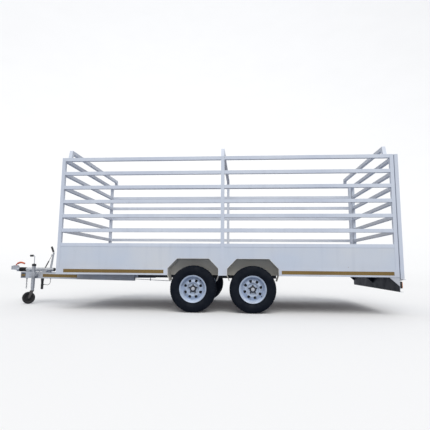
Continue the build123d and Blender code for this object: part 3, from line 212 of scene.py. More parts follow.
def carried(path, radius, sides=8, closed=False):
    """A round section carried along a path: each ring lies square to the way the path runs there.
    An open path is closed at both ends by rings that shrink to a point."""
    path = np.asarray(path, float)
    radius = np.broadcast_to(radius, len(path)).astype(float)
    if closed:
        way = np.roll(path, -1, 0) - np.roll(path, 1, 0)
    else:
        way = np.gradient(path, axis=0)
        path = np.concatenate([path[:1], path, path[-1:]])
        way = np.concatenate([way[:1], way, way[-1:]])
        radius = np.concatenate([[0], radius, [0]])
    way /= np.linalg.norm(way, axis=1, keepdims=True)
    guide = np.eye(3)[np.argmin(np.abs(way).sum(0))]
    u = np.cross(way, guide)
    u /= np.linalg.norm(u, axis=1, keepdims=True)
    v = np.cross(way, u)
    angle = np.linspace(0, 2 * np.pi, sides, endpoint=False)[None, :, None]
    ring = np.cos(angle) * u[:, None] + np.sin(angle) * v[:, None]
    return path[:, None] + ring * radius[:, None, None], grid_faces(len(path), sides, closed, True)


def pad(centre, axes, half_u, half_v, depth, flute=0.0, square=0.22):
    """A low block with rounded corners and a crowned front, closed at the back:
    rings of rounded-square shape shrink to the middle of the front and of the back."""
    out_way, u, v = axes
    rings, steps, flute_pitch = 26, 64, 0.012
    share = np.linspace(0, 1, rings)
    size = np.concatenate([share, [1.0, 0.0]])
    lift = np.concatenate([depth * (1 - share ** 7 * 0.55), [0.0, 0.0]])
    angle = np.linspace(0, 2 * np.pi, steps, endpoint=False)
    across = half_u * size[:, None] * np.sign(np.cos(angle)) * np.abs(np.cos(angle)) ** square
    along = half_v * size[:, None] * np.sign(np.sin(angle)) * np.abs(np.sin(angle)) ** square
    lift = lift[:, None] + flute * np.sin(across * 2 * np.pi / flute_pitch) * (lift[:, None] > 0)
    points = (np.array(centre) + lift[..., None] * out_way + across[..., None] * u + along[..., None] * v)
    return points, grid_faces(len(size), steps, False, True)


# %% [markdown]
# Every finish is made of nodes: a base colour, broad uneven patches in it, fine grain in the roughness
# and the bump, and dirt where dirt collects. One helper lays down noise at a given size, stretched
# where the grain has a direction, and another spreads a band of values over 0 to 1.

# %% Shader helpers
def noise(tree, size, detail=3.0, stretch=(1, 1, 1)):
    """Cloudy noise in the object's own metres, with blotches of about the given size."""
    place = add(tree, "ShaderNodeTexCoord").outputs["Object"]
    stretched = add(tree, "ShaderNodeMapping", {"Vector": place}, Scale=stretch).outputs["Vector"]
    made = add(tree, "ShaderNodeTexNoise", {"Vector": stretched}, Scale=0.5 / size, Detail=detail)
    return made.outputs["Fac"]


def spread(tree, source, start, end, to_start=0.0, to_end=1.0):
    """Stretches the values between start and end over 0 to 1, or over the two given values."""
    settings = {"From Min": start, "From Max": end, "To Min": to_start, "To Max": to_end}
    return add(tree, "ShaderNodeMapRange", {"Value": source}, **settings).outputs["Result"]


def blended(tree, share, a, b):
    """A colour between a and b; each is a colour or a node's output."""
    made = add(tree, "ShaderNodeMix", data_type="RGBA")
    tree.links.new(share, made.inputs[0])
    for socket, value in zip([s for s in made.inputs if s.type == "RGBA"], (a, b)):
        if isinstance(value, tuple):
            socket.default_value = (*value, 1)
        else:
            tree.links.new(value, socket)
    return [s for s in made.outputs if s.type == "RGBA"][0]


def combined(tree, a, b, operation="MULTIPLY"):
    """Two values worked into one."""
    made = add(tree, "ShaderNodeMath", operation=operation)
    for socket, value in zip(made.inputs, (a, b)):
        if isinstance(value, float):
            socket.default_value = value
        else:
            tree.links.new(value, socket)
    return made.outputs[0]


def object_height(tree):
    """Height above the ground, which every piece knows from its own coordinates."""
    place = add(tree, "ShaderNodeTexCoord").outputs["Object"]
    return add(tree, "ShaderNodeSeparateXYZ", {"Vector": place}).outputs["Z"]


def within(tree, axis, start, end):
    """1 where the object's own coordinate lies between two values, otherwise 0."""
    place = add(tree, "ShaderNodeTexCoord").outputs["Object"]
    made = add(tree, "ShaderNodeMath", operation="COMPARE")
    tree.links.new(add(tree, "ShaderNodeSeparateXYZ", {"Vector": place}).outputs[axis], made.inputs[0])
    made.inputs[1].default_value, made.inputs[2].default_value = (start + end) / 2, (end - start) / 2
    return made.outputs[0]


def distance_from_axle(tree, centre):
    """Distance from a wheel's axle, which runs across the trailer."""
    place = add(tree, "ShaderNodeTexCoord").outputs["Object"]
    moved = add(tree, "ShaderNodeMapping", {"Vector": place}, Scale=(1, 0, 1),
                Location=(-centre[0], 0, -centre[2]))
    made = add(tree, "ShaderNodeVectorMath", operation="LENGTH")
    tree.links.new(moved.outputs["Vector"], made.inputs[0])
    return made.outputs["Value"]


def finish(name, roughness, metallic=0.0, **sockets):
    """A new material and its tree. Values that are the same all over sit on the shader itself."""
    material = bpy.data.materials.new(name)
    material.use_nodes = True
    shader = material.node_tree.nodes["Principled BSDF"]
    shader.inputs["Roughness"].default_value = roughness
    shader.inputs["Metallic"].default_value = metallic
    for socket, value in sockets.items():
        shader.inputs[socket.replace("_", " ")].default_value = value
    return material, material.node_tree, shader


def join(tree, shader, colour=None, rough=None, bump=None, depth=0.0003):
    """Links the colour, the roughness and the bump of a finish to its shader."""
    if colour is not None:
        tree.links.new(colour, shader.inputs["Base Color"])
    if rough is not None:
        tree.links.new(rough, shader.inputs["Roughness"])
    if bump is not None:
        made = add(tree, "ShaderNodeBump", {"Height": bump}, Distance=depth, Strength=0.6)
        tree.links.new(made.outputs["Normal"], shader.inputs["Normal"])


# %% [markdown]
# The frame is sprayed in an off-white enamel. Real spray has a slight orange peel, thins at places, and
# picks up road dust low down and small chips that show rust. So the paint mixes a light and a darker
# tone in broad patches, adds dust by height, and breaks through to rust only at the peaks of a fine
# noise.

# %% Paint
def paint(name, light, dark, rough=0.38, dust=0.35, dust_top=0.9, chips=0.78, painted_shade=None, gloss=0.5):
    """Enamel: two tones in patches, faint dark runs, dust that fades out with height, and a few
    rusty chips. The painted_shade function, where given, says which part gets a near-black navy painted
    shade."""
    material, tree, shader = finish(name, rough, Coat_Weight=0.24 * gloss, Coat_Roughness=0.25,
                                    Specular_IOR_Level=gloss)
    patches = spread(tree, noise(tree, 0.55), 0.35, 0.65)
    colour = blended(tree, patches, light, dark)
    runs = spread(tree, noise(tree, 0.05, 4.0, (1, 1, 0.12)), 0.52, 0.78, 0.0, 0.30)
    colour = blended(tree, runs, colour, tuple(0.8 * tone for tone in dark))
    fade = spread(tree, object_height(tree), 0.35, dust_top, dust, 0.0)
    dusty = combined(tree, fade, spread(tree, noise(tree, 0.12, 5.0), 0.35, 0.7))
    colour = blended(tree, dusty, colour, (0.42, 0.36, 0.29))
    specks = spread(tree, noise(tree, 0.012, 2.0), chips, chips + 0.02)
    colour = blended(tree, specks, colour, (0.30, 0.22, 0.17))
    # Painted shade: where the given mask is on, the colour goes near-black navy in place of the shadow that
    # part sits in.
    if painted_shade:
        colour = blended(tree, painted_shade(tree), colour, (0.010, 0.013, 0.022))
    grain = noise(tree, 0.003, 2.0)
    join(tree, shader, colour, spread(tree, noise(tree, 0.08, 4.0), 0.3, 0.7, rough - 0.08, rough + 0.14),
         grain, 0.00025)
    return material


white_paint = paint("white_enamel", (0.70, 0.75, 0.83), (0.62, 0.67, 0.77))
skirt_paint = paint("skirt_enamel", (0.70, 0.72, 0.75), (0.60, 0.66, 0.76), dust=0.30, dust_top=0.75)
# The wheel boxes' pale tan, brightened tone is painted bounce light: it stands in for light reflected up from
# the ground into the arches.
guard_paint_with_bounce = paint("wheel_box_enamel_painted_bounce", (0.90, 0.88, 0.82), (0.80, 0.77, 0.69), rough=0.5, dust=0.20)
drawbar_paint = paint("drawbar_enamel", (0.62, 0.66, 0.72), (0.50, 0.55, 0.62), dust=0.45)
under_paint = paint("under_enamel", (0.40, 0.43, 0.47), (0.30, 0.33, 0.38), rough=0.5, dust=0.5)
# The light board is painted near black as painted shade, all but its rear face and its near end, for the
# shadow it sits in under the body.
board_paint = paint("light_board_enamel", (0.66, 0.70, 0.77), (0.56, 0.60, 0.68), gloss=0.15,
                    painted_shade=lambda tree: combined(tree, within(tree, "X", rear_x - 0.3, rear_x - 0.0015),
                                                    within(tree, "Y", -half_width + 0.012, half_width)))
# Below the body's underside the chassis rails are painted near black: a painted shade for the shadow beneath
# the body.
rail_paint = paint("chassis_enamel", (0.70, 0.75, 0.83), (0.62, 0.67, 0.77),
                   painted_shade=lambda tree: within(tree, "Z", 0.0, ride_height - 0.0002))
black_paint = paint("black_enamel", (0.030, 0.032, 0.038), (0.045, 0.045, 0.05), rough=0.42, dust=0.35)

# %% [markdown]
# Zinc plate has spangle: flat crystals, each a little lighter or darker. A cell pattern gives every
# crystal its own tone and its own roughness. The same recipe, larger or finer, serves the coupling,
# the jockey tube, the chain and the strut's rod.

# %% Bare and plated metal
def plated(name, tone, rough=0.36, crystal=0.010, grime=0.35, metallic=0.9):
    """Plated steel: each crystal of a cell pattern has its own tone, under patches of dull grime."""
    material, tree, shader = finish(name, rough, metallic)
    place = add(tree, "ShaderNodeTexCoord").outputs["Object"]
    cells = add(tree, "ShaderNodeTexVoronoi", {"Vector": place}, Scale=1 / crystal)
    cell_tone = add(tree, "ShaderNodeSeparateColor", {"Color": cells.outputs["Color"]}).outputs["Red"]
    colour = blended(tree, cell_tone, tuple(0.86 * v for v in tone), tuple(min(1, 1.1 * v) for v in tone))
    dull = spread(tree, noise(tree, 0.04, 5.0), 0.45, 0.75, 0.0, grime)
    colour = blended(tree, dull, colour, (0.16, 0.14, 0.12))
    join(tree, shader, colour, spread(tree, noise(tree, 0.02, 4.0), 0.3, 0.7, rough - 0.1, rough + 0.16),
         noise(tree, 0.002, 2.0), 0.0002)
    return material


zinc = plated("zinc_plate", (0.66, 0.68, 0.71))
cast_zinc = plated("cast_coupling", (0.58, 0.61, 0.66), rough=0.48, crystal=0.004, metallic=0.75)
chain_zinc = plated("chain_zinc", (0.50, 0.51, 0.53), rough=0.42, crystal=0.005)
dark_rod = plated("blackened_rod", (0.10, 0.10, 0.115), rough=0.28, crystal=0.02, grime=0.2, metallic=0.8)
weld_steel = paint("painted_weld", (0.66, 0.71, 0.79), (0.56, 0.61, 0.70), rough=0.42, chips=0.66)

# %% [markdown]
# Rubber and moulded plastic are nearly black and never shiny all over. Tyres pick up dust in a grey
# brown film; where they are clean, their navy-tinted base colour is a painted sky reflection. Plastic keeps a
# fine sandy grain from its mould.

# %% Rubber and plastic
def rubber(name, dark, dust_colour, dust=0.5, rough=0.62, gloss=0.4):
    """Rubber: near black, with a film of dust in patches and a fine grain."""
    material, tree, shader = finish(name, rough, Specular_IOR_Level=gloss)
    film = spread(tree, noise(tree, 0.05, 5.0), 0.40, 0.75, 0.0, dust)
    colour = blended(tree, film, dark, dust_colour)
    join(tree, shader, colour, spread(tree, noise(tree, 0.03, 4.0), 0.3, 0.7, rough - 0.08, rough + 0.2),
         noise(tree, 0.0015, 3.0), 0.0002)
    return material


def plastic(name, tone, worn, rough=0.42, grain=0.0012):
    """Moulded plastic: one tone that fades in patches, and the sandy grain of its mould."""
    material, tree, shader = finish(name, rough)
    colour = blended(tree, spread(tree, noise(tree, 0.03, 4.0), 0.4, 0.8), tone, worn)
    join(tree, shader, colour, spread(tree, noise(tree, 0.02, 3.0), 0.3, 0.7, rough - 0.08, rough + 0.12),
         noise(tree, grain, 2.0), 0.00015)
    return material


# The tyre's navy-blue base tint is a painted reflection of the sky, not the rubber's own colour.
tyre_rubber = rubber("tyre_rubber", (0.0035, 0.0060, 0.0120), (0.020, 0.023, 0.028), 0.35, 0.66, 0.16)
black_rubber = rubber("black_rubber", (0.014, 0.014, 0.016), (0.07, 0.066, 0.06), 0.3)
cable_rubber = rubber("cable_rubber", (0.05, 0.048, 0.046), (0.15, 0.13, 0.10), 0.5, 0.5)
black_plastic = plastic("black_plastic", (0.016, 0.016, 0.018), (0.05, 0.05, 0.05))
red_plastic = plastic("red_plastic", (0.60, 0.085, 0.035), (0.68, 0.20, 0.10), 0.36)
lamp_black = plastic("lamp_base_plastic", (0.02, 0.02, 0.02), (0.05, 0.045, 0.04))

# %% [markdown]
# Conspicuity tape is a clear film over rows of tiny prisms. Up close it shows a honeycomb with fine
# seams; from far off it is one flat gold. The cell pattern gives the honeycomb and the noise its
# faded patches.

# %% Tape, lamps, plywood and wheel paint
def tape_finish():
    """Gold film over prisms: darker lines along the cells, broad fading, a clear coat."""
    material, tree, shader = finish("reflective_tape", 0.34, 0.25, Coat_Weight=0.3, Coat_Roughness=0.12)
    place = add(tree, "ShaderNodeTexCoord").outputs["Object"]
    cells = add(tree, "ShaderNodeTexVoronoi", {"Vector": place}, Scale=180.0, feature="DISTANCE_TO_EDGE")
    seams = spread(tree, cells.outputs["Distance"], 0.0, 0.12)
    faded = spread(tree, noise(tree, 0.25, 3.0), 0.35, 0.7)
    gold = blended(tree, faded, (0.30, 0.19, 0.045), (0.24, 0.15, 0.04))
    colour = blended(tree, seams, (0.16, 0.10, 0.03), gold)
    join(tree, shader, colour, None, cells.outputs["Distance"], 0.0002)
    return material


def lens_finish(name, tone):
    """Coloured plastic: painted shade in bands along the fine flutes, which also raise it a little, under a
    clear coat.
    """
    material, tree, shader = finish(name, 0.16, Coat_Weight=0.5, Coat_Roughness=0.05)
    place = add(tree, "ShaderNodeTexCoord").outputs["Object"]
    flutes = add(tree, "ShaderNodeTexWave", {"Vector": place}, Scale=60.0, bands_direction="Y")
    # The colour darkens in bands with the flute wave: painted shade of the flutes.
    colour = blended(tree, flutes.outputs["Fac"], tone, tuple(0.6 * v for v in tone))
    join(tree, shader, colour, None, flutes.outputs["Fac"], 0.0006)
    return material


def plywood_finish():
    """Film-faced plywood: long grain along the trailer, darker where boots and hooves wear it."""
    material, tree, shader = finish("plywood", 0.7)
    grain = noise(tree, 0.02, 6.0, (0.06, 1, 1))
    wood = blended(tree, spread(tree, grain, 0.3, 0.7), (0.20, 0.12, 0.065), (0.34, 0.22, 0.12))
    worn = spread(tree, noise(tree, 0.35, 4.0), 0.4, 0.7, 0.0, 0.6)
    join(tree, shader, blended(tree, worn, wood, (0.12, 0.10, 0.085)), None, grain, 0.0006)
    return material


wheel_centres = {}
for place in ("front", "rear"):
    rim_low, rim_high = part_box(f"rim_near_{place}")
    wheel_centres[place] = (np.array(rim_low) + np.array(rim_high)) / 2


def rim_finish(place):
    """Wheel paint: silvery white, darkened near black inside the ring of nuts (partly brake dust, partly
    painted shade of the hub recess) and by brake dust in patches further out.
    """
    material, tree, shader = finish(f"wheel_enamel_{place}", 0.34, 0.08, Coat_Weight=0.2, Coat_Roughness=0.2)
    base = blended(tree, spread(tree, noise(tree, 0.15), 0.3, 0.7), (0.54, 0.62, 0.75), (0.43, 0.51, 0.65))
    dust = spread(tree, noise(tree, 0.03, 5.0), 0.50, 0.8, 0.0, 0.6)
    colour = blended(tree, dust, base, (0.20, 0.18, 0.17))
    # Inside the ring of nuts the rim goes near black: partly brake dust, partly painted shade round the hub.
    nut_dust_and_painted_shade = spread(tree, distance_from_axle(tree, wheel_centres[place]), 0.046, 0.052, 0.9, 0.0)
    join(tree, shader, blended(tree, nut_dust_and_painted_shade, colour, (0.035, 0.037, 0.045)),
         spread(tree, noise(tree, 0.04, 4.0), 0.3, 0.7, 0.26, 0.5), noise(tree, 0.004, 2.0), 0.0002)
    return material


def hub_finish(place):
    """Hub: black drum, dark nuts and a pale grease cap, told apart by their distance from the axle."""
    material, tree, shader = finish(f"hub_steel_{place}", 0.45, 0.55)
    away = distance_from_axle(tree, wheel_centres[place])
    worn = spread(tree, noise(tree, 0.01, 4.0), 0.4, 0.7)
    nuts = blended(tree, worn, (0.045, 0.047, 0.058), (0.025, 0.024, 0.024))
    capped = blended(tree, spread(tree, away, 0.026, 0.028), (0.62, 0.64, 0.68), nuts)
    colour = blended(tree, spread(tree, away, 0.072, 0.078), capped, (0.008, 0.010, 0.020))
    join(tree, shader, colour, spread(tree, noise(tree, 0.02, 4.0), 0.3, 0.7, 0.34, 0.62),
         noise(tree, 0.003, 3.0), 0.0003)
    return material


tape = tape_finish()
lens_red = lens_finish("lens_red", (0.40, 0.045, 0.025))
lens_amber = lens_finish("lens_amber", (0.72, 0.22, 0.03))
plywood = plywood_finish()
wheel_enamel = {place: rim_finish(place) for place in wheel_centres}
hub_steel = {place: hub_finish(place) for place in wheel_centres}

# %% [markdown]
# Each solid piece that keeps its own shape gets its finish here. Its mesh is not touched; only the
# material in its slot changes.

# %% Finishes on the solid pieces
swing_arms = [n for n in nodes if n.startswith("swing_arm")]
finishes = {
    white_paint: ["front_bars", "gate_bars", "gate_lugs", "gate_stiles", "latch_keeper", "posts",
                  "roof_bows", "side_bars"],
    rail_paint: ["chassis_rails"],
    board_paint: ["light_board"],
    skirt_paint: ["body_panels", "gate_panel"],
    guard_paint_with_bounce: ["wheel_boxes"],
    drawbar_paint: ["drawbar_beams", "nose_plate"],
    under_paint: ["cross_members"],
    black_paint: ["axle_tubes", "jockey_fork", "strut_cylinder"] + swing_arms,
    zinc: ["brake_rod", "clamp_lever", "coupling_housing", "draw_shaft", "handbrake_lever", "jockey_clamp",
           "jockey_crank", "jockey_inner_tube", "jockey_tube", "latch_bolt"],
    cast_zinc: ["coupling_head"],
    chain_zinc: ["safety_chain"],
    dark_rod: ["strut_rod"],
    red_plastic: ["coupling_handle"],
    black_plastic: ["overrun_damper", "plug_holder", "handbrake_grip", "plug"],
    black_rubber: ["bellows", "jockey_wheel", "plug_cable"],
    lamp_black: ["tail_lamps"],
    lens_red: ["lamp_lenses"],
    tape: ["reflective_tape"],
    plywood: ["floor_boards"],
    tyre_rubber: [n for n in nodes if n.startswith("tyre")],
    wheel_enamel["front"]: ["rim_near_front", "rim_far_front"],
    wheel_enamel["rear"]: ["rim_near_rear", "rim_far_rear"],
    hub_steel["front"]: ["hub_near_front", "hub_far_front"],
    hub_steel["rear"]: ["hub_near_rear", "hub_far_rear"],
}
for material, names in finishes.items():
    for name in names:
        nodes[name].data.materials.clear()
        nodes[name].data.materials.append(material)
bare = sorted(set(nodes) - {name for names in finishes.values() for name in names})
print("solid pieces without a finish:", bare)

# %% [markdown]
# The floor is one wide pale dish: flat under the trailer, then rising in a smooth sweep all round, as a
# studio's does, so no edge shows from any side. Its height is just under zero out to a distance, then grows
# with the square of the distance beyond it. It takes shadows but casts none and sends no light back,
# so the sky and the sun reach the trailer as if it were not there.

# %% Floor
floor_finish, floor_tree, floor_shader = finish("studio_floor", 0.9)
floor_tone = blended(floor_tree, noise(floor_tree, 3.0), (0.90, 0.90, 0.90), (0.93, 0.93, 0.93))
join(floor_tree, floor_shader, floor_tone)
flat_reach, dish_bend, floor_drop = 14.0, 0.012, 0.0005
reach = np.linspace(0, 130, 66)
rise = np.clip(reach - flat_reach, 0, None) ** 2 * dish_bend - floor_drop
floor = piece("studio_floor", [turned(list(zip(reach, rise)), (0, 0, 0), "Z", 96, closed=False)],
              floor_finish, None)
floor.visible_diffuse = False
floor.visible_glossy = False
floor.visible_shadow = False

# %% [markdown]
# The lamp cable leaves the plug sideways, dips, and turns up into a gland under the drawbar. It is a
# smooth spline over the same few points as the solid model's tube. The order is set last, because a
# spline falls back to straight runs when it has too few points at the time.

# %% Plug cable
beam_front_y, beam_rear_y = 0.054, 0.700
beam_ahead, beam_behind = 1.040, 1.071
beam_slope = (beam_rear_y - beam_front_y) / (beam_ahead + beam_behind)
plug_x = front_x - 0.695
plug_y = -(beam_front_y + beam_slope * (plug_x - front_x + beam_ahead))
plug_low, plug_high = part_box("plug")
gland_z = plug_low.z + 0.078
cable_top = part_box("plug_holder")[1].z - 0.013
cable_start = (plug_x + 0.036, plug_y, gland_z)
cable_route = [
    cable_start,
    (plug_x + 0.062, plug_y, gland_z),
    (plug_x + 0.093, plug_y - 0.004, gland_z - 0.006),
    (plug_x + 0.125, plug_y - 0.013, gland_z + 0.0025),
    (plug_x + 0.150, plug_y - 0.026, gland_z + 0.026),
    (plug_x + 0.162, plug_y - 0.036, gland_z + 0.059),
    (plug_x + 0.162, plug_y - 0.036, cable_top),
]
cable_curve = bpy.data.curves.new("plug_cable_line", "CURVE")
cable_curve.dimensions = "3D"
spline = cable_curve.splines.new("NURBS")
spline.points.add(len(cable_route) - 1)
spline.points.foreach_set("co", np.array([(*p, 1.0) for p in cable_route], np.float32).ravel())
spline.order_u = 3
spline.use_endpoint_u = True
spline.resolution_u = 16
cable_curve.bevel_depth = 0.004
cable_curve.bevel_resolution = 4
cable_curve.use_fill_caps = True
cable_curve.materials.append(cable_rubber)
cable = bpy.data.objects.new("plug_cable_line", cable_curve)
bpy.context.scene.collection.objects.link(cable)
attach(cable, "trailer")
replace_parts(cable, "plug_cable")

# %% [markdown]
# The seven-pin plug is a moulded body with grip ribs, parked nose up in its holder. It is turned from
# a profile: the radius steps in and out for the ribs and rounds off at the closed end. The cable
# leaves through a small ribbed gland at its side.

# %% Plug body
base_z, top_z = plug_low.z, plug_high.z
barrel_radius, rib_height, rib_pitch = 0.0205, 0.0013, 0.0105
ribs = np.linspace(0.022, 0.128, 45)
rib_radius = barrel_radius + rib_height * np.sign(np.sin(ribs * 2 * np.pi / rib_pitch))
plug_profile = [(0.0, 0.0), (0.012, 0.0), (0.018, 0.0022), (0.021, 0.008), (0.021, 0.020)]
plug_profile += list(zip(rib_radius, ribs))
plug_profile += [(0.0218, 0.130), (0.0218, 0.139), (barrel_radius, 0.140)]
plug_profile += [(barrel_radius, top_z - base_z), (0.0, top_z - base_z)]
gland = [(0.0, 0.017), (0.0095, 0.017), (0.0095, 0.024), (0.0078, 0.0245), (0.0078, 0.028), (0.0088, 0.0285),
         (0.0088, 0.032), (0.0060, 0.036), (0.0, 0.036)]
plug_body = piece("plug_body", [turned(plug_profile, (plug_x, plug_y, base_z), "Z", 48, closed=False),
                                turned(gland, (plug_x, plug_y, gland_z), "X", 28, closed=False)],
                  black_plastic, "trailer")
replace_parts(plug_body, "plug")

# %% [markdown]
# A van tyre has a flat tread with grooves round it, short slots across its shoulders, and a rib low on
# the sidewall that guards the rim. The section is a smooth line through a few points; each ring of
# points then goes in along the section's own normal where a groove or a slot lies, so the pattern is
# real depth. The inside is the same line moved in by the wall.

# %% Tyres
def smooth_line(keys, count):
    """A smooth line through points: each span is a cubic whose end slopes come from its neighbours."""
    keys = np.asarray(keys, float)
    padded = np.concatenate([2 * keys[:1] - keys[1:2], keys, 2 * keys[-1:] - keys[-2:-1]])
    place = np.linspace(0, len(keys) - 1, count)
    span = np.minimum(place.astype(int), len(keys) - 2)
    t = (place - span)[:, None]
    a, b, c, d = (padded[span + i] for i in range(4))
    squared = (2 * a - 5 * b + 4 * c - d) * t ** 2
    cubed = (3 * b - a - 3 * c + d) * t ** 3
    return 0.5 * (2 * b + (c - a) * t + squared + cubed)


def tyre_surface(centre, radius, half, bead, steps=300):
    """Section points go in by: 6 mm at four grooves, 5 mm at slots sin(56 angle) on the shoulders,
    and out by 1.5 mm at the rim-guard rib."""
    groove_depth, slot_depth, guard_height, wall = 0.006, 0.005, 0.0015, 0.011
    keys = [(-0.76, bead), (-0.82, bead + 0.018), (-0.97, radius - 0.095), (-1.0, radius - 0.068),
            (-0.95, radius - 0.036), (-0.84, radius - 0.011), (-0.66, radius - 0.002), (-0.25, radius)]
    keys += [(-across, height) for across, height in keys[::-1]]
    line = smooth_line([(across * half, height) for across, height in keys], 150)
    normal = np.gradient(line, axis=0)[:, ::-1] * (-1, 1)
    normal /= np.linalg.norm(normal, axis=1, keepdims=True)
    share = line[:, 0] / half
    crown = line[:, 1] > radius - 0.020
    grooves = sum(np.exp(-((share - place) / 0.042) ** 2) for place in (-0.48, -0.16, 0.16, 0.48)) * crown
    shoulder = np.clip((np.abs(share) - 0.50) * 12, 0, 1) * np.clip((line[:, 1] - radius + 0.040) * 60, 0, 1)
    rib = np.exp(-((line[:, 1] - bead - 0.024) / 0.004) ** 2)
    angle = np.linspace(0, 2 * np.pi, steps, endpoint=False)
    slots = np.clip(3.0 * np.sin(56 * angle[None] + 5.0 * share[:, None]) - 1.4, 0, 1)
    depth = (groove_depth * grooves[:, None] + slot_depth * shoulder[:, None] * slots
             - guard_height * rib[:, None])
    outer = line[:, None] - normal[:, None] * depth[..., None]
    inner = np.repeat((line - wall * normal)[::-6, None], steps, 1)
    section = np.concatenate([outer, inner])
    points = np.stack([section[..., 1] * np.cos(angle), section[..., 0], section[..., 1] * np.sin(angle)], -1)
    return points + np.array(centre), grid_faces(len(section), steps, True, True)


wheels = [(side, place) for side in ("near", "far") for place in ("front", "rear")]
bead_inset = 0.015
bead = (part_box("rim_near_front")[1].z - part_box("rim_near_front")[0].z) / 2 - bead_inset
for side, place in wheels:
    tyre_low, tyre_high = (np.array(corner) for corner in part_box(f"tyre_{side}_{place}"))
    shape = tyre_surface((tyre_low + tyre_high) / 2, (tyre_high[2] - tyre_low[2]) / 2,
                         (tyre_high[1] - tyre_low[1]) / 2, bead)
    tread = piece(f"treaded_tyre_{side}_{place}", [shape], tyre_rubber, f"wheel_{side}_{place}")
    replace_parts(tread, f"tyre_{side}_{place}")

# %% [markdown]
# Behind the windows of each rim stands the brake's dished backing plate, which closes most of the
# barrel. It is bolted to the arm, so it does not turn with the wheel. Its rim is rolled over.

# %% Backing plates
plate_profile = [(0.0300, 0.0), (0.1120, 0.0), (0.1180, 0.0060), (0.1440, 0.0060), (0.1480, 0.0100),
                 (0.1505, 0.0100), (0.1505, 0.0078), (0.1490, 0.0078), (0.1450, 0.0038), (0.1190, 0.0038),
                 (0.1130, -0.0022), (0.0300, -0.0022)]
plate_inset = 0.0110
for side, place in wheels:
    outward = -1 if side == "near" else 1
    hub_low, hub_high = (np.array(corner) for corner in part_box(f"hub_{side}_{place}"))
    inner_y = hub_high[1] if side == "near" else hub_low[1]
    plate_y = inner_y - outward * plate_inset
    plate_centre = ((hub_low[0] + hub_high[0]) / 2, plate_y, (hub_low[2] + hub_high[2]) / 2)
    plate_line = [(radius, outward * across) for radius, across in plate_profile]
    piece(f"backing_plate_{side}_{place}", [turned(plate_line, plate_centre, "Y", 96)],
          black_paint, f"arm_{side}_{place}")

# %% [markdown]
# Each rim carries a snap-in rubber valve that leans out of the barrel near its edge.

# %% Valves
valve_angle = {"front": np.radians(48), "rear": np.radians(-38)}
stem_line = np.array([[0.161, 0.036], [0.158, 0.044], [0.154, 0.054], [0.150, 0.064], [0.148, 0.070]])
stem_radius = [0.0075, 0.0070, 0.0045, 0.0042, 0.0048]
for side, place in wheels:
    outward = -1 if side == "near" else 1
    rim_low, rim_high = (np.array(corner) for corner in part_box(f"rim_{side}_{place}"))
    hub_point = (rim_low + rim_high) / 2
    spoke = np.array([np.cos(valve_angle[place]), 0, np.sin(valve_angle[place])])
    stem = hub_point + stem_line[:, :1] * spoke + stem_line[:, 1:] * np.array([0, outward, 0])
    piece(f"valve_{side}_{place}", [carried(stem, stem_radius, 14)],
          black_rubber, f"wheel_{side}_{place}")

# %% [markdown]
# The jockey wheel is solid rubber on a dished centre. It stands turned on its swivel, so its profile is
# carried round the joint's own axis, which the record gives.

# %% Jockey wheel
joints = {joint["name"]: joint for joint in frame["record"]["behaviour"]["joints"]}
axle = np.array(joints["jockey_roll"]["axis"], float)
axle /= np.linalg.norm(axle)
axle_frame = np.stack([axle, np.cross(np.array([0, 0, 1.0]), axle), np.array([0, 0, 1.0])])
half_profile = [(0.0086, -0.029), (0.024, -0.029), (0.026, -0.017), (0.058, -0.014), (0.063, -0.026),
                (0.068, -0.0295), (0.088, -0.0295), (0.0955, -0.0265), (0.0992, -0.019), (0.0999, -0.010),
                (0.0970, -0.0085), (0.0970, -0.0060), (0.0999, -0.0045)]
jockey_profile = half_profile + [(radius, -along) for radius, along in half_profile[::-1]]
jockey_tyre = piece("jockey_tyre", [turned(jockey_profile, joints["jockey_roll"]["pos_m"], axle_frame, 96)],
                    black_rubber, "jockey_roller")
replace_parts(jockey_tyre, "jockey_wheel")

# %% [markdown]
# The bellows keeps dirt off the draw shaft. It is one sleeve of sharp folds whose radius rises and
# falls in nearly straight flanks, with a wall inside.

# %% Bellows
sleeve_low, sleeve_high = (np.array(corner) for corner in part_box("bellows"))
sleeve_length = sleeve_high[0] - sleeve_low[0]
fold_count = 7
along = np.linspace(0, sleeve_length, fold_count * 12 + 1)
fold = np.abs((along / sleeve_length * fold_count) % 1 - 0.5) * 2
valley_radius, fold_height, sleeve_wall = 0.0285, 0.0090, 0.0022
crest = valley_radius + fold_height * (1 - fold) ** 0.8
sleeve_profile = list(zip(crest, along)) + list(zip(crest[::-1] - sleeve_wall, along[::-1]))
sleeve_centre = (sleeve_low[0], 0, (sleeve_low[2] + sleeve_high[2]) / 2)
sleeve = piece("folded_bellows", [turned(sleeve_profile, sleeve_centre, "X", 64)], black_rubber, None)
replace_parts(sleeve, "bellows")
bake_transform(sleeve)

# %% [markdown]
# The grips are moulded rubber sleeves with finger ribs. A rib is a wave in the radius, and both ends
# are rounded by a short quarter circle. The handbrake's sleeve leans forward of its lever; the crank's
# lies level on its arm, and a cap closes the top of the jockey tube.

# %% Grips and cap
def sleeve_profile_of(length, radius, ribs, rib_height=0.0011, round_end=0.006):
    """Radius along a ribbed sleeve, from nothing at one end round its corners to nothing at the other."""
    turn = np.linspace(0, np.pi / 2, 7)
    foot = [(radius - round_end + round_end * np.sin(t), round_end * (1 - np.cos(t))) for t in turn]
    middle = np.linspace(round_end, length - round_end, ribs * 8)[1:-1]
    wave = radius + rib_height * np.sin((middle - round_end) / (length - 2 * round_end) * ribs * 2 * np.pi)
    head = [(r, length - a) for r, a in foot[::-1]]
    return [(0.0, 0.0)] + foot + list(zip(wave, middle)) + head + [(0.0, length)]


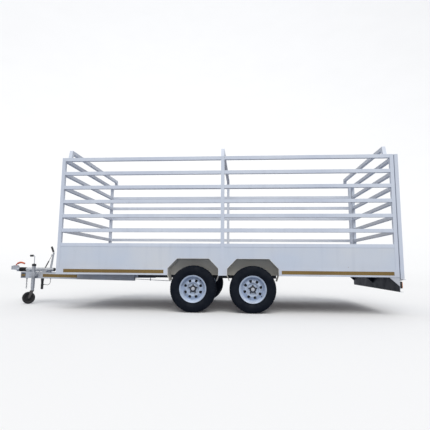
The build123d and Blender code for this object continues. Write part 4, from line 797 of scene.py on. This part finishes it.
grip_low, grip_high = (np.array(corner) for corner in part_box("handbrake_grip"))
grip_lean, grip_length, grip_radius, grip_over = np.radians(22), 0.100, 0.0170, 0.004
grip_way = np.array([-np.sin(grip_lean), 0, np.cos(grip_lean)])
grip_frame = np.stack([grip_way, np.array([0, 1.0, 0]), np.cross(grip_way, [0, 1.0, 0])])
grip_foot = (grip_low + grip_high) / 2 - grip_way * grip_length / 2
grip_profile = sleeve_profile_of(grip_length + grip_over, grip_radius, 9)
grip = piece("ribbed_grip", [turned(grip_profile, grip_foot, grip_frame, 48, False)],
             black_plastic, "handbrake")
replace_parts(grip, "handbrake_grip")

crank_low, crank_high = (np.array(corner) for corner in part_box("jockey_crank"))
tube_low, tube_high = (np.array(corner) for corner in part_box("jockey_tube"))
tube_y = (tube_low[1] + tube_high[1]) / 2
tube_x = (tube_low[0] + tube_high[0]) / 2
crank_grip_length, crank_grip_radius, crank_drop = 0.064, 0.0165, 0.013
crank_grip = sleeve_profile_of(crank_grip_length, crank_grip_radius, 6)
crank_foot = (crank_low[0] - 0.001, tube_y, crank_high[2] - crank_drop)
piece("crank_sleeve", [turned(crank_grip, crank_foot, "X", 40, False)],
      black_plastic, "jockey_winder")
cap_profile = [(0.0305, -0.004), (0.0352, -0.004), (0.0352, 0.026), (0.0335, 0.0305), (0.0300, 0.0325),
               (0.0140, 0.0335), (0.0120, 0.0380), (0.0086, 0.0380), (0.0086, 0.0310), (0.0305, 0.0300)]
piece("tube_cap", [turned(cap_profile, (tube_x, tube_y, tube_high[2] - 0.030), "Z", 48)],
      black_plastic, "jockey_outer")

# %% [markdown]
# The coupling's release handle has a thick moulded sleeve over its steel strap. The sleeve follows the
# strap as a smooth line through five points measured from the handle's own pin, and swells in its
# middle.

# %% Release handle sleeve
handle_pin = np.array(joints["release_hinge"]["pos_m"], float)
strap = handle_pin + np.array([(0.020, 0, 0.036), (0.045, 0, 0.049), (0.080, 0, 0.058), (0.120, 0, 0.052),
                               (0.156, 0, 0.038)])
sleeve_line = smooth_line(strap, 40)
bulge = 0.0035 * np.sin(np.linspace(0.15, 0.9, 40) * np.pi)
ripple = 0.0006 * np.sin(np.linspace(0, 22 * np.pi, 40))
swell = 0.0125 + bulge + ripple
piece("release_sleeve", [carried(sleeve_line, swell, 24)], red_plastic, "release_handle")

# %% [markdown]
# Where a bar meets a post, a weld runs round it. A bead is a thin round section carried along the
# bar's own square outline, and its radius ripples as a weld does, one ripple for each dab of the
# torch. All the beads of a frame are one piece.

# %% Weld beads
bar_half = 0.025
bead_radius, bead_ripple = 0.0022, 0.0005
bar_heights = np.linspace(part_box("side_bars")[0].z + bar_half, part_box("side_bars")[1].z - bar_half, 7)


def weld_ring(centre, axis, half=bar_half):
    """A square outline across an axis, with corners slightly rounded; radius 2.2 mm, with ripples."""
    angle = np.linspace(0, 2 * np.pi, 96, endpoint=False)
    u, v = AXES[axis][1], AXES[axis][2]
    square = np.stack([np.cos(angle), np.sin(angle)], -1)
    square /= np.max(np.abs(square), axis=1, keepdims=True) ** 0.95
    path = np.array(centre) + half * (square[:, :1] * u + square[:, 1:] * v)
    return carried(path, bead_radius + bead_ripple * np.sin(angle * 34), 6, closed=True)


middle_x = (front_x + rear_x) / 2
side_joints = [front_x + 2 * bar_half, middle_x - bar_half, middle_x + bar_half, rear_x - 2 * bar_half]
beads = [weld_ring((x, side * (half_width - bar_half), z), "X")
         for side in (-1, 1) for z in bar_heights for x in side_joints]
beads += [weld_ring((front_x + bar_half, side * (half_width - 2 * bar_half), z), "Y")
          for side in (-1, 1) for z in bar_heights]
piece("frame_welds", beads, weld_steel, "trailer")
gate_low, gate_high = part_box("gate_stiles")
gate_x = (gate_low.x + gate_high.x) / 2
gate_heights = np.concatenate([[gate_low.z + bar_half], bar_heights])
piece("gate_welds", [weld_ring((gate_x, side * (half_width - 2 * bar_half), z), "Y")
                     for side in (-1, 1) for z in gate_heights], weld_steel, "gate")

# %% [markdown]
# A tail lamp's lens is crowned and fluted so that it spreads light. Each is a pad whose front carries a
# fine wave. The outer third is the amber indicator and the rest is red.

# %% Lamp lenses
lens_low, lens_high = (np.array(corner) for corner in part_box("lamp_lenses"))
lens_width, lens_gap, lens_flute = 0.216, 0.0006, 0.0005
lens_height = lens_high[2] - lens_low[2]
lens_z = (lens_low[2] + lens_high[2]) / 2
parts = {"lamp_lens_red": (lens_red, -1 / 6, 1 / 3), "lamp_lens_amber": (lens_amber, 1 / 3, 1 / 6)}
for name, (material, place, half_share) in parts.items():
    shapes = []
    for side in (-1, 1):
        lamp_y = side * (lens_high[1] - lens_width / 2 + place * lens_width)
        shapes.append(pad((lens_low[0], lamp_y, lens_z), AXES["X"], half_share * lens_width - lens_gap,
                          lens_height / 2, lens_high[0] - lens_low[0], lens_flute))
    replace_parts(piece(name, shapes, material, "trailer"), "lamp_lenses")

# %% [markdown]
# A short patch of the same gold tape marks the near face of the nose box.

# %% Nose tape
near_frame = np.array([[0, -1.0, 0], [1.0, 0, 0], [0, 0, 1.0]])
nose_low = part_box("nose_plate")[0]
tape_half_length, tape_half_height, tape_thickness = 0.036, 0.016, 0.0008
tape_centre = (nose_low.x + 0.048, -0.0802, ride_height - 0.050)
piece("nose_tape", [pad(tape_centre, near_frame, tape_half_length, tape_half_height, tape_thickness)],
      tape, "trailer")
